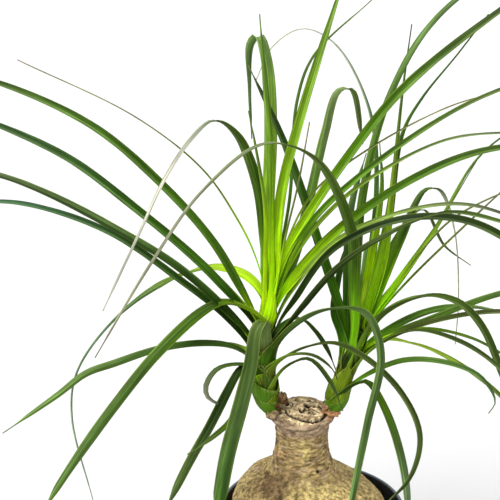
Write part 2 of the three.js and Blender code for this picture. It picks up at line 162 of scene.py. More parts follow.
def skin(rings, startPoint, endPoint):  # a closed skin, each ring counterclockwise about its way
    around = len(rings[0])
    points = [point for ring in rings for point in ring] + [startPoint, endPoint]
    start, end = len(points) - 2, len(points) - 1
    last = (len(rings) - 1) * around
    faces = []
    for i in range(around):
        j = (i + 1) % around
        faces.append((start, j, i))
        faces.append((end, last + i, last + j))
        for low in range(0, last, around):
            faces.append((low + i, low + j, low + around + j, low + around + i))
    return points, faces


def circle(radius, height, sides):
    angles = [2 * math.pi * k / sides for k in range(sides)]
    return [Vector((radius * math.cos(a), radius * math.sin(a), height)) for a in angles]


def addPart(points, faces, partPoints, partFaces):
    first = len(points)
    points += partPoints
    faces += [tuple(first + v for v in face) for face in partFaces]


# curves, both of the kind that the CAD uses
def throughPoints(points, count):  # centripetal Catmull-Rom, count points at even lengths
    ends = [points[0] * 2 - points[1]] + list(points) + [points[-1] * 2 - points[-2]]
    fine = []
    stepsEach = 24  # between two of the given points
    for k in range(len(points) - 1):
        p0, p1, p2, p3 = ends[k : k + 4]
        t1 = math.sqrt((p1 - p0).length)
        t2 = t1 + math.sqrt((p2 - p1).length)
        t3 = t2 + math.sqrt((p3 - p2).length)
        for step in range(stepsEach):
            t = lerp(t1, t2, step / stepsEach)
            a1 = p0.lerp(p1, t / t1)
            a2 = p1.lerp(p2, (t - t1) / (t2 - t1))
            a3 = p2.lerp(p3, (t - t2) / (t3 - t2))
            b1 = a1.lerp(a2, t / t2)
            b2 = a2.lerp(a3, (t - t1) / (t3 - t1))
            fine.append(b1.lerp(b2, (t - t1) / (t2 - t1)))
    fine.append(points[-1].copy())
    return evenly(fine, count)


def evenly(fine, count):
    reached = [0]
    for a, b in zip(fine, fine[1:]):
        reached.append(reached[-1] + (b - a).length)
    result = []
    k = 0
    for i in range(count):
        wanted = reached[-1] * i / (count - 1)
        while k < len(fine) - 2 and reached[k + 1] < wanted:
            k += 1
        result.append(fine[k].lerp(fine[k + 1], (wanted - reached[k]) / (reached[k + 1] - reached[k])))
    return result, reached[-1]


def throughValues(values, share):  # uniform Catmull-Rom through numbers
    place = share * (len(values) - 1)
    k = min(int(place), len(values) - 2)
    t = place - k
    p1, p2 = values[k], values[k + 1]
    p0 = values[max(0, k - 1)]
    p3 = values[min(len(values) - 1, k + 2)]
    v0, v1 = (p2 - p0) / 2, (p3 - p1) / 2
    return (2 * p1 - 2 * p2 + v0 + v1) * t**3 + (-3 * p1 + 3 * p2 - 2 * v0 - v1) * t**2 + v0 * t + p1


def directions(line):
    result = []
    for i in range(len(line)):
        step = line[min(i + 1, len(line) - 1)] - line[max(i - 1, 0)]
        result.append(step.normalized())
    return result


# trunk: caudex, neck and sawn top, grown as one piece
trunk = {
    "profile": [
        (12, 60), (30, 63), (47, 72), (60, 87), (67, 104), (73.5, 126), (72, 139), (66, 149.5),
        (57, 158.5), (46.5, 165.5), (37, 171.5), (30.3, 179), (26, 190), (24.2, 201), (23.6, 212),
        (24, 221), (25, 226), (24.6, 230.5), (22.8, 232.3), (21, 230.6), (19.6, 232), (9, 232.4),
        (0.5, 232.2),
    ],
    "bulbX": -3,
    "neckX": -10.5,
    "middleMoves": (150, 195),  # heights over which the middle goes from the bulb's to the neck's
    "cutFace": 21.5,  # radius inside the bark edge
    "cutEdge": (20.6, 23.2),  # radii over which the sawn wood gives way to bark
    "cutAbove": 228,  # the rim and the face lie higher than this
    "cutSlope": 0.14,  # the saw went down towards the front
    "cutSlopes": (214, 230),  # heights over which the bark follows it
    "collar": {"height": 228, "reach": 4.5, "spread": 5, "width": 0.5},
    "lobes": [(2, 0.018, -1.57), (3, 0.008, -1.57), (5, 0.004, 2.1)],  # count, share of the radius, turn
    "shoulderLean": 0.12,
    "shoulderRises": (128, 160),  # heights over which the lean sets in and ends
    "shoulderEnds": (176, 200),
    "rings": 460,  # all of them above the soil are kept, and one in ten below
    "ringsBelow": 10,
    "sides": 300,
    "lumpSize": 17,  # mm, as are the sizes and heights below
    "lumpHeight": 1.1,
    "plateSize": 4.2,
    "plateHeight": 0.5,
    "neckBark": (168, 186),  # heights over which plates give way to rings
    "ringsEnd": (216, 222),
    "wrinkleSpacing": 4.6,
    "wrinkleHeight": 0.45,
    "wrinkleWander": [(12, 1.8), (4, 1.1)],  # size and share of the two patterns that bend the rings
    "wrinkleBend": 3.2,
    "rimBark": (214, 219),  # heights over which the grainy rim sets in
    "rimGrain": 0.5,
    "lip": {"height": 215.5, "reach": 0.8, "width": 1.7, "wander": 1.5},
    "fleckSize": 3.6,
    "streakLength": 7,
    "grainSize": 1.1,
    "callusAt": (13, 0, 230),  # middle of the orange bark at the right shoot
    "driedAt": (-33, -2, 229),  # and of the brown one at the left shoot
}
soilTop = 119
# pitShade is the painted shade laid into the marks' hollows
barkColours = {name: toLinear(colour) for name, colour in {
    "tan": "#a28e5c", "yellow": "#b5a266", "brown": "#6b573a", "pinkGrey": "#a38c74", "neck": "#9f8759",
    "cut": "#ecd4a8", "cutGrey": "#a68e6c", "pitShade": "#150c06", "callus": "#b88860", "stub": "#5d421f",
}.items()}
# marks in the sawn face and the bark, cut in and darkened with painted shade: width, depth, and the course
# seen from the front as pairs of right and up from the cut's centre
trunkMarks = [
    # the crack between the wood and the bark
    (1.0, 1.8, [-25.2, -0.2, -22.9, -3.2, -18.7, -5.7, -13.9, -7.2, -10.5, -8.1]),
    (1.5, 2.4, [-10.5, -8.1, -0.7, -9.4, 5.9, -8.1, 9.9, -4.1, 11.5, -2.7]),
    (1.0, 1.2, [4.1, 4.5, 6.8, 2.6, 9, 0]),
    (0.5, 0.6, [-17.1, 9.7, -11, 9.2, -4.5, 9, 2, 8.1, 7.2, 6.4]),
    # holes and checks in the wood
    (1.9, 2.6, [-7.2, 5.9, -5, 4.7]),
    (0.8, 1.0, [-0.2, 3.9, 0.5, 3.7]),
    (1.0, 1.8, [-13.1, 1.8, -12.4, -0.6, -10.6, -0.4, -8.2, 2.2]),
    (0.55, 0.8, [-6.8, 0.5, -2.3, 2.2, 3.3, -0.7, 5, -2]),
    (0.8, 1.0, [-4.6, -1.4, -4.2, -1.5]),
    (0.7, 1.0, [-10.6, -4, -10.3, -4]),
    (0.55, 0.8, [0.4, -2.7, 0.7, -2.7]),
    # the knot and the dots beside it
    (1.6, 1.6, [-24.2, 6.5, -23.6, 6.9]),
    (0.5, 0.7, [-21.8, 7.4, -20.2, 7.7, -18.9, 6.6, -19.4, 4.9, -21, 4.6]),
    (0.6, 0.7, [-28.8, 2.7, -28.5, 2.5]),
    (0.6, 0.7, [-22.2, 0.3, -21.9, 0]),
    (0.6, 0.7, [-30.6, -1.8, -30.3, -2]),
    (0.6, 0.7, [-20.7, -3.6, -20.4, -4]),
    # under the rim; the two shallow lines there are mostly painted shadow, not relief
    (0.6, 0.35, [-12.6, -18, -7.2, -18.5, -0.9, -17.1, 3.6, -14.9, 5.4, -12.6]),
    (1.2, 0.1, [-23.4, -18, -20.5, -19.6, -17, -20.4]),
    (1.3, 1.6, [3.4, -54.8, 4, -55]),
]
markReach = (30, 16)  # how far right and up a mark runs at most from its first point
markSpread = 1.05  # of a mark's width, so that it shows in the bark's relief
# patches of another colour, seen from the front: right, up, half width, half height, colour, strength
barkPatches = [
    (-36, -68, 19, 18, "brown", 1.0),
    (-17, -62, 8, 6, "brown", 0.6),
    (-58, -74, 12, 16, "brown", 0.35),
    (-54, -51, 6, 4, "pinkGrey", 0.9),
    (-30, -40, 6, 6, "callus", 0.35),
    (-8, -37, 8, 17, "yellow", 0.8),
    (-19, -21, 5, 2.5, "brown", 0.6),
    (12, -13, 3, 9, "cutGrey", 0.8),
    (6, -78, 30, 14, "yellow", 0.55),
    (30, -56, 12, 8, "brown", 0.3),
    (18, -26, 8, 14, "brown", 0.3),
    (-36, -18, 4, 16, "pinkGrey", 0.7),
]


def collarSwelling(radius, angle, height):
    if radius < trunk["cutFace"]:
        return 0
    collar = trunk["collar"]
    nearTop = math.exp(-(((height - collar["height"]) / collar["spread"]) ** 2))
    return collar["reach"] * nearTop * math.exp(-((math.sin(angle) / collar["width"]) ** 2))


def caudexPoint(radius, height, angle):
    neck = smooth(height, *trunk["middleMoves"])
    centre = lerp(trunk["bulbX"], trunk["neckX"], neck)
    bare = smooth(height, soilTop - 12, soilTop + 12) * (1 - 0.4 * neck)
    lobes = sum(share * math.sin(count * angle + turn) for count, share, turn in trunk["lobes"])
    reach = radius * (1 + bare * lobes) + collarSwelling(radius, angle, height)
    across, back = reach * math.cos(angle), reach * math.sin(angle)
    shoulder = smooth(height, *trunk["shoulderRises"]) * (1 - smooth(height, *trunk["shoulderEnds"]))
    lean = -trunk["shoulderLean"] * across * shoulder
    slope = trunk["cutSlope"] * back * smooth(height, *trunk["cutSlopes"])
    return Vector((centre + across, back, height + lean + slope))


def asSeen(point):  # right and up in the plane through the cut's centre
    ray = point - eye
    spot = eye + ray * (sight["distance"] / ray.dot(sightAhead))
    return spot.x, (spot - onPicture(0, 0)).dot(sightUp)


def toCourse(x, y, course):  # the shortest way from a place to a course
    nearest = math.inf
    for i in range(0, len(course) - 2, 2):
        ax, ay, bx, by = course[i : i + 4]
        dx, dy = bx - ax, by - ay
        t = min(1, max(0, ((x - ax) * dx + (y - ay) * dy) / (dx * dx + dy * dy)))
        nearest = min(nearest, math.hypot(x - ax - t * dx, y - ay - t * dy))
    return nearest


def markedAt(right, high, point):  # how deep the marks go here, and how dark they are: the darkness is painted shade in the hollows, more where they are deeper
    right += 0.45 * noise(point / 1.3)
    high += 0.45 * noise(point / 1.3 + Vector((7, 3, 1)))
    deep = dark = 0
    for width, depth, course in trunkMarks:
        if abs(right - course[0]) < markReach[0] and abs(high - course[1]) < markReach[1]:
            near = math.exp(-((toCourse(right, high, course) / (width * markSpread)) ** 4))
            deep = max(deep, depth * near)
            dark = max(dark, near * min(1, 0.3 + 0.7 * depth))
    return deep, dark


def bark(point, height, right, high):  # how far the bark stands out, and its colour
    neck = smooth(height, *trunk["neckBark"])
    stretched = Vector((point.x, point.y, point.z * 1.9)) / trunk["plateSize"]
    plate = noise(stretched) + 0.5 * noise(stretched * 2.3)
    lump = noise(point / trunk["lumpSize"])
    out = trunk["lumpHeight"] * lump * (1 - 0.6 * neck) + trunk["plateHeight"] * plate
    # rings of old leaf bases round the neck, broken and of uneven height
    wander = sum(share * noise(point / size) for size, share in trunk["wrinkleWander"])
    wave = math.sin(2 * math.pi * height / trunk["wrinkleSpacing"] + trunk["wrinkleBend"] * wander)
    rings = neck * (1 - smooth(height, *trunk["ringsEnd"]))
    strength = max(0, 0.55 + 0.9 * noise(Vector((point.x / 9, point.y / 9, point.z / 3))))
    out += rings * trunk["wrinkleHeight"] * wave * strength
    # the grainy rim under the saw cut, with a lip at its foot
    rim = smooth(height, *trunk["rimBark"])
    grain = noise(point / 1.5) + noise(point / 3.2)
    lip = trunk["lip"]
    fromLip = (height - lip["height"] - lip["wander"] * noise(point / 9)) / lip["width"]
    out += trunk["rimGrain"] * rim * grain + lip["reach"] * math.exp(-(fromLip**2))
    # the colours lie over one another: name and share
    blotch = smooth(noise(point / 14 + Vector((4.1, 0, 7.3))), -0.1, 0.45)
    pale = smooth(noise(point / 9 + Vector((1.7, 5, 2.3))), 0.05, 0.5)
    layers = [("neck", neck), ("brown", 0.45 * blotch * (1 - 0.5 * neck)), ("yellow", 0.5 * pale)]
    if point.y < 12:
        for x, y, wide, tall, name, share in barkPatches:
            away = math.hypot((right - x) / wide, (high - y) / tall) + 0.35 * noise(point / 4)
            layers.append((name, share * (1 - smooth(away, 0.45, 1.15))))
    mottle = noise(point / 5 + Vector((3, 8, 1)))
    toRight = (point - Vector(trunk["callusAt"])).length
    toLeft = (point - Vector(trunk["driedAt"])).length
    layers += [
        ("pinkGrey", 0.8 * rim),
        ("brown", 0.5 * rim * smooth(grain, 0.15, 0.9)),
        ("brown", 0.3 * rings * strength * smooth(-wave, 0, 0.9)),
        ("yellow", 0.25 * rings * strength * smooth(wave, 0.2, 0.9)),
        ("pinkGrey", 0.6 * rings * smooth(mottle, 0.05, 0.4)),
        ("brown", 0.55 * rings * smooth(-mottle, 0.1, 0.45)),
        ("callus", smooth(-toRight, -14, -7) * smooth(noise(point / 3), -0.5, 0.2)),
        ("stub", 0.6 * smooth(-toLeft, -12, -6)),
    ]
    colour = barkColours["tan"]
    for name, share in layers:
        colour = blend(colour, barkColours[name], share)
    colour[3] = neck + 0.6 * rim
    return out, colour


def sawnFace(point):  # how far the wood stands up, and its colour
    c = barkColours
    rough = noise(point / 3.1)
    fine = noise(point / 1.2)
    colour = blend(c["cut"], c["cutGrey"], smooth(noise(point / 4.5), -0.25, 0.4))
    colour = blend(colour, c["stub"], 0.85 * smooth(fine, 0.16, 0.42))
    colour[3] = 2
    return 0.35 * rough + 0.25 * fine, colour


# Bark of a living caudex, grown and cracked by swelling: dull corky tan with cream and brown
# flecks, drawn out to streaks round the neck. They are drawn a little coarser than real.
def makeBark():
    material, tree = newMaterial("corkBarkGrown")
    tint = addNode(tree, "VertexColor", {"layer_name": "tint"})
    place = addNode(tree, "TexCoord").outputs["Object"]
    flecks = addNode(tree, "TexNoise", None, {
        "Vector": place, "Scale": perMm / trunk["fleckSize"], "Detail": 5, "Roughness": 0.68})
    flat = addNode(tree, "Mapping", None, {"Vector": place, "Scale": (1, 1, 2.8)})
    streaks = addNode(tree, "TexNoise", None, {
        "Vector": flat.outputs["Vector"], "Scale": perMm / trunk["streakLength"], "Detail": 5,
        "Roughness": 0.65})
    # the tint's alpha tells bulb from neck from sawn wood
    pattern = addNode(tree, "Mix", None, {
        0: tint.outputs["Alpha"], 2: flecks.outputs["Fac"], 3: streaks.outputs["Fac"]})
    strength = addNode(tree, "MapRange", None, {
        "Value": tint.outputs["Alpha"], "From Min": 1, "From Max": 2, "To Min": 0.9, "To Max": 0.5})
    shade = addNode(tree, "ValToRGB", None, {"Fac": pattern.outputs[0]}, [
        (0.34, toLinear("#584c3c")), (0.45, grey(0.68)), (0.52, grey(1)), (0.59, (1.6, 1.6, 1.7, 1))])
    coloured = addNode(tree, "Mix", multiply, {
        0: strength.outputs[0], 6: tint.outputs["Color"], 7: shade.outputs["Color"]})
    grain = addNode(tree, "TexNoise", None, {
        "Vector": place, "Scale": perMm / trunk["grainSize"], "Detail": 3, "Roughness": 0.7})
    height = addNode(tree, "Math", {"operation": "ADD"}, {0: pattern.outputs[0], 1: grain.outputs["Fac"]})
    bump = addNode(tree, "Bump", None, {"Strength": 0.7, "Distance": 0.0008, "Height": height.outputs[0]})
    shader = addNode(tree, "BsdfPrincipled", None, {
        "Base Color": coloured.outputs[2], "Roughness": 0.88, "IOR": 1.45, "Specular IOR Level": 0.2,
        "Normal": bump.outputs["Normal"]})
    finishMaterial(tree, shader)
    return material


def makeTrunk(material):
    outline = [Vector((r, 0, z)) for r, z in trunk["profile"]]
    fine, _ = throughPoints(outline, trunk["rings"])
    rings, colours = [], []
    for spot in [p for i, p in enumerate(fine) if i % trunk["ringsBelow"] == 0 or p.z > soilTop - 6]:
        ring = []
        onFace = spot.z > trunk["cutAbove"] and spot.x < trunk["cutEdge"][1]
        edge = smooth(spot.x, *trunk["cutEdge"]) if onFace else 1
        buried = smooth(spot.z, soilTop - 8, soilTop)
        for i in range(trunk["sides"]):
            angle = 2 * math.pi * i / trunk["sides"]
            point = caudexPoint(spot.x, spot.z, angle)
            right, high = asSeen(point)
            out, colour = bark(point, spot.z, right, high) if edge > 0 else (0, None)
            face, faceColour = sawnFace(point) if edge < 1 else (0, colour)
            # the marks are read from the front, so the back has none, but the whole cut has
            marked = point.y < 24 if spot.z > 222 else point.y < 0
            deep, dark = markedAt(right, high, point) if marked and buried == 1 else (0, 0)
            colour = faceColour if edge <= 0 else blend(faceColour, colour, edge)
            rise = 0.35 if spot.z > trunk["shoulderRises"][0] else -0.2  # the bulb is widest there
            outward = Vector((math.cos(angle), math.sin(angle), rise)).normalized()
            point += outward * (out * buried - deep) * edge + up * (face - deep) * (1 - edge)
            ring.append(point)
            # painted shade in the marks' hollows, darker where they are deeper
            colours.append(blend(colour, barkColours["pitShade"], dark))
        rings.append(ring)
    foot = Vector((trunk["bulbX"], 0, trunk["profile"][0][1] - 1))
    middle = Vector((trunk["neckX"], 0, trunk["profile"][-1][1]))
    colours += [barkColours["brown"], barkColours["cut"]]
    points, faces = skin(rings, foot, middle)
    meshPiece("caudexAndNeck", points, faces, "trunk", material, colours)


# dried bases at the left shoot's foot and callus at the right one's, as lumps: place seen from
# the front and depth, half sizes, lean to the right in degrees, colours low and high
barkLumps = [
    ("driedBases", (-28.6, 11.5, -5), (4.4, 4.2, 5.6), -14, "stub", "brown"),
    ("driedBases", (-33.8, 5.6, -6), (2.2, 2.2, 6.6), -30, "stub", "stub"),
    ("driedBases", (-37.6, -2.4, -5), (5.8, 6.4, 4.4), -32, "pinkGrey", "tan"),
    ("callus", (10.6, 4.4, -4), (3.2, 3.6, 6.2), 16, "callus", "pinkGrey"),
    ("callus", (16.6, -1.6, -6), (6.4, 5.4, 3.0), 8, "callus", "callus"),
]
lumpShape = {
    "rings": 26,
    "sides": 36,
    "roughness": 0.42,  # share of the radius
    "grain": 1.7,  # mm, size of the bumps
    "fibres": 3.5,  # how much they are drawn out along the lump
}


def makeLumps(name, material):
    points, faces, colours = [], [], []
    for lumpName, place, size, lean, low, high in barkLumps:
        if lumpName != name:
            continue
        centre = seen(*place)
        tilt = Quaternion((0, 1, 0), math.radians(lean))
        rings = []
        for j in range(1, lumpShape["rings"]):
            polar = math.pi * j / lumpShape["rings"]
            ring = []
            for way in circle(math.sin(polar), -math.cos(polar), lumpShape["sides"]):
                spot = way * Vector(size)
                fibre = Vector((spot.x, spot.y, spot.z / lumpShape["fibres"])) / lumpShape["grain"] + centre
                bumps = noise(fibre) + 0.4 * noise(fibre * 2.7)
                ring.append(centre + tilt @ (spot * (1 + lumpShape["roughness"] * bumps)))
                colour = blend(barkColours[low], barkColours[high], smooth(way.z + bumps, -0.3, 0.9))
                colour = blend(colour, barkColours["stub"], 0.5 * smooth(-bumps, 0.1, 0.5))
                colours.append(colour[:3] + [0])
            rings.append(ring)
        end = tilt @ Vector((0, 0, size[2]))
        addPart(points, faces, *skin(rings, centre - end, centre + end))
        colours += [colours[-1], colours[-1]]
    meshPiece(name, points, faces, None, material, colours)


barkMaterial = makeBark()
makeTrunk(barkMaterial)
makeLumps("driedBases", barkMaterial)
makeLumps("callus", barkMaterial)
print("trunk made")


# leaves: a tone, the blade's widths and its depths (minus is towards the viewer), both at even
# steps from base to tip, and its course from base to tip as pairs of right and up, as in the CAD
leftLeaves = [
    # reaching out to the left, highest first
    ("olive", [2.2, 1.8, 1.4, 1.2], [5, 10, 15],
     [-46, 112, -55, 144, -70, 174, -100, 217, -160, 264, -267, 316]),
    ("wideTop", [8, 8, 8, 7, 4], [-4, 0, 10],
     [-50, 72, -62, 100, -90, 150, -140, 206, -200, 256, -285, 295, -345, 308]),
    ("shadeMid", [8.5, 8.5, 8.5, 7.5, 4], [4, 14, 24],
     [-50, 69, -60, 85, -100, 130, -160, 181, -220, 226, -285, 257, -330, 272]),
    ("shade", [8, 8, 8, 7, 4], [-10, -24, -34],
     [-52, 55, -70, 80, -120, 127, -180, 164, -240, 195, -285, 212, -335, 221]),
    ("shadeCool", [7, 7, 7, 6, 3], [8, 22, 40],
     [-54, 48, -80, 85, -120, 117, -180, 158, -240, 181, -285, 188, -330, 180]),
    ("fresh", [11.5, 11, 10, 9, 5], [-18, -66, -120],
     [-45, 78, -60, 91, -80, 96, -100, 88, -140, 52, -180, 3, -220, -53, -245, -92]),
    ("shadeFresh", [7.5, 7.5, 7.5, 7.5, 6, 1.3], [-6, -30, -60],
     [-54, 43, -72, 56, -100, 60, -140, 55, -180, 42, -205, 33, -230, 14, -280, -20]),
    ("curl", [6, 6, 5.5, 5, 4.2], [-10, -22, -30],
     [-54, 38, -70, 41, -88, 36, -97, 22, -95, 13, -86, 7]),
    ("deep", [9, 9, 8.5, 8, 6], [-30, -60, -85],
     [-54, 40, -63, 38, -78, 15, -94, -15, -110, -43, -134, -90]),
    ("green", [6, 6, 5.5, 4.5, 1.5], [-44, -84, -110],
     [-54, 32, -66, 10, -75, -9, -90, -23, -104, -33, -114, -39]),
    ("broad", [9.5, 12, 13.5, 13, 11], [-48, -94, -150],
     [-44, 60, -46, 79, -51, 73, -57, 40, -66, 5, -78, -40, -88, -100]),
    ("limeThin", [11.5, 10, 3.5, 2.4, 2.2, 1.5], [40, 95, 120],
     [-45, 98, -57, 116, -71, 124, -100, 127, -160, 99, -212, 38, -218, -5, -199, -80]),
    ("arch", [9, 9.5, 9, 5, 3.2, 2.4, 2], [-20, -90, -150],
     [-44, 109, -46, 165, -52, 205, -69, 247, -90, 261, -110, 245, -133, 211, -158, 158, -190, 90]),
    # upright in the middle of the crown
    ("fold", [10, 10.5, 11, 11, 9, 3.5, 2.5], [20, 60, 110],
     [-43, 91, -43, 150, -39, 250, -42, 310, -50, 337, -57, 330, -58, 290, -56, 245]),
    ("bright", [7, 7, 6.5, 5, 1.5], [-10, -20, -30], [-40, 90, -39, 150, -40, 240, -46, 320, -49, 357]),
    ("bright", [9.5, 9.5, 9, 7, 2], [-6, -14, -20],
     [-38, 88, -35, 120, -29, 195, -10, 270, 10, 335, 29, 395]),
    ("bright", [4, 4, 3.5, 2.5, 1.2], [-12, -20, -26], [-45, 101, -44, 180, -53, 240, -59, 270]),
    ("olive", [2.2, 2, 1.8, 1.6, 1.2], [-24, -34, -44], [-36, 100, -26, 155, -14, 205, -4, 260]),
    # reaching out to the right
    ("brightOut", [9.5, 9, 8.5, 8, 5], [-4, -10, -14],
     [-37, 86, -28, 135, -10, 168, 30, 227, 80, 289, 168, 360, 210, 388]),
    ("olive", [2.2, 2, 2, 1.8, 1.2], [0, 0, -4],
     [-37, 104, -25, 150, 0, 197, 50, 236, 120, 273, 168, 288]),
    ("brightDusk", [6, 6, 6, 5, 3], [-10, -20, -30],
     [-36, 84, -28, 122, 0, 172, 50, 218, 120, 266, 168, 289, 222, 306]),
    ("duskLong", [6, 5, 4, 3, 2.4], [-14, -28, -44],
     [-34, 92, -20, 135, 20, 185, 70, 221, 120, 244, 168, 250, 214, 247]),
    ("brightOut", [10.5, 10, 8.5, 7.5, 5], [-8, -12, -10],
     [-38, 80, -20, 115, 20, 160, 80, 203, 140, 230, 190, 238, 250, 232]),
    ("dusk", [5.5, 5, 4.5, 4, 3], [-16, -34, -50],
     [-36, 74, -20, 107, 20, 153, 80, 179, 130, 186, 168, 178, 205, 160]),
    ("deep", [6, 6.5, 7.5, 8, 5], [-52, -72, -88],
     [-36, 68, -20, 95, 20, 147, 80, 172, 130, 172, 168, 157, 215, 120, 232, 92]),
    ("deep", [6.5, 6.5, 6.5, 5.5, 3], [-46, -80, -108],
     [-36, 60, -20, 80, 20, 127, 60, 155, 118, 178, 168, 170, 222, 148]),
    ("greyDeep", [7, 7, 7, 6.5, 5], [-46, -96, -140],
     [-38, 52, -15, 78, 20, 92, 48, 86, 60, 50, 48, -10, 34, -80, 31, -100]),
    ("oliveDark", [5.5, 5.5, 5.5, 5, 3], [-34, -62, -86],
     [-36, 38, -10, 56, 20, 60, 50, 45, 80, 14, 95, -22, 87, -58, 60, -88]),
    ("oliveDark", [6, 6, 5.5, 4.5, 1.5], [-14, -26, -34], [-36, 22, -25, 39, -5, 46, 15, 25, 26, 0]),
    ("oliveDark", [5.5, 5.5, 5, 4, 1.5], [-20, -34, -40], [-38, 40, -20, 50, 0, 49, 17, 37, 21, 28]),
    ("dark", [6, 6, 5.5, 4.5, 1.5], [20, 34, 38], [-36, 68, -15, 83, 0, 72, 12, 55, 20, 36]),
    ("grey", [9, 9, 8.5, 7, 4], [50, 110, 140],
     [-38, 95, -20, 130, -4, 190, 10, 250, 22, 287, 33, 289, 44, 240]),
    ("dark", [3, 3, 3, 2.5, 1.2], [50, 90, 120], [-39, 97, -22, 190, -15, 280, 0, 320, 52, 370]),
    # behind the crown, in line with leaves that stand before them
    ("green", [7, 7, 6.5, 5, 1.5], [80, 170, 230], [-48, 74, -59, 88, -100, 131, -160, 181, -200, 211]),
    ("green", [6, 6, 5.5, 4.5, 1.5], [90, 170, 230], [-52, 47, -71, 58, -100, 60, -140, 55, -180, 42]),
    ("dark", [8, 8, 7.5, 6, 1.5], [90, 180, 240], [-42, 93, -40, 150, -40, 190, -40, 170, -41, 120]),
    ("green", [5.5, 5.5, 5, 4, 1.5], [80, 150, 210], [-52, 52, -79, 87, -120, 117, -180, 158]),
]
rightLeaves = [
    # leaning and arching over to the left
    ("dark", [9, 9, 8.5, 6.5, 2], [20, 30, 10], [30, 48, 24, 85, 3, 153, -26, 238, -59, 311]),
    ("over", [10.5, 10.5, 8.5, 4.2, 3, 2.6, 1.6], [-48, -96, -125],
     [32, 56, 36, 120, 33, 163, 0, 227, -45, 240, -100, 198, -147, 132, -197, 48]),
    ("farThin", [5, 5, 4, 2.4, 1.6, 1.2], [60, 110, 150],
     [42, 90, 56, 200, 50, 270, 20, 329, -10, 344, -38, 327, -52, 298]),
    ("dark", [7, 7, 6.5, 5, 1.5], [26, 50, 70], [29, 46, 24, 70, 18, 88, 22, 120, 32, 160]),
    # upright
    ("midLong", [8.5, 8, 6.5, 5.5, 4], [20, 44, 60],
     [36, 70, 38, 140, 48, 215, 67, 280, 100, 341, 140, 378, 182, 392]),
    ("bright", [10, 9, 7, 4, 1.5], [18, 36, 50], [41, 74, 50, 130, 61, 200, 59, 243]),
    ("spring", [10, 8, 4.5, 2.5, 1.2], [24, 50, 76], [46, 82, 62, 135, 72, 215, 80, 290, 88, 348]),
    ("springDark", [10, 8.5, 4.4, 2.0, 1.4], [30, 60, 90],
     [48, 84, 66, 165, 80, 250, 97, 281, 130, 322, 157, 357]),
    ("dark", [8, 8, 7.5, 6, 2], [40, 80, 120], [32, 52, 30, 90, 33, 180, 47, 232]),
    # reaching out to the right
    ("farArch", [10.5, 9.5, 6.0, 1.7, 1.4, 1.2], [34, 80, 110],
     [46, 70, 57, 105, 78, 155, 100, 198, 112, 199, 126, 165, 130, 100, 127, 60]),
    ("spring", [9, 6.5, 3.4, 2.2, 1.2], [16, 40, 60], [48, 74, 70, 107, 110, 165, 148, 228, 200, 268]),
    ("olive", [2.4, 2.4, 2.2, 1.8, 1.2], [8, 14, 20], [50, 78, 75, 115, 120, 169, 160, 192, 205, 208]),
    ("olive", [2.4, 2.4, 2.2, 1.8, 1.2], [24, 60, 90], [50, 76, 80, 112, 135, 166, 200, 226]),
    ("oliveDark", [7.5, 7.5, 7.5, 6.5, 4], [-20, -44, -70],
     [36, 45, 60, 84, 100, 103, 130, 97, 150, 77, 168, 36, 184, -10, 190, -50]),
    ("cool", [8, 8, 7.5, 6, 2], [30, 70, 110], [42, 50, 60, 67, 100, 88, 140, 93, 205, 80]),
    ("cool", [7, 7, 7, 6, 3], [14, 40, 70], [42, 46, 65, 65, 105, 82, 168, 105, 220, 112, 268, 102]),
    ("brownLine", [5.5, 5.5, 5.5, 5, 3], [-6, -10, -16],
     [40, 44, 70, 66, 110, 81, 168, 89, 225, 80, 262, 58]),
    ("oliveDark", [5, 5, 5, 4.5, 2], [-24, -50, -76],
     [40, 42, 60, 60, 90, 72, 130, 63, 165, 40, 185, 15, 198, -15]),
    ("green", [4, 4, 3.5, 3, 1.3], [4, 10, 16], [44, 54, 90, 73, 140, 66, 195, 35]),
    ("limeShort", [6.5, 6.5, 6, 5, 1.5], [30, 60, 90],
     [40, 52, 60, 63, 90, 60, 130, 42, 168, 13, 190, -15]),
    ("cool", [5.5, 5.5, 5.5, 5, 2], [-14, -28, -40],
     [24, 12, 40, 27, 80, 45, 120, 43, 150, 30, 163, 8, 157, -2]),
    ("mid", [7.5, 7.5, 7.5, 7, 5], [-24, -50, -80],
     [22, 10, 35, 22, 47, 25, 65, -2, 80, -50, 86, -104]),
    ("grey", [4, 4, 3.5, 3, 1.3], [60, 110, 150], [48, 82, 70, 150, 97, 181, 118, 148, 141, 131]),
    # behind the crown
    ("green", [6, 6, 6, 5, 1.5], [90, 180, 230], [38, 50, 61, 86, 100, 103, 130, 97, 150, 77]),
    ("green", [6, 4.5, 2.4, 1.4, 1.0], [90, 170, 220], [46, 79, 69, 109, 110, 165, 148, 228]),
    ("dark", [6, 6, 5.5, 4.5, 1.3], [80, 150, 200], [38, 76, 40, 140, 48, 215, 67, 280]),
    ("dark", [8, 8, 7.5, 6, 1.5], [90, 180, 240], [38, 60, 44, 110, 50, 150, 54, 130, 56, 90]),
]

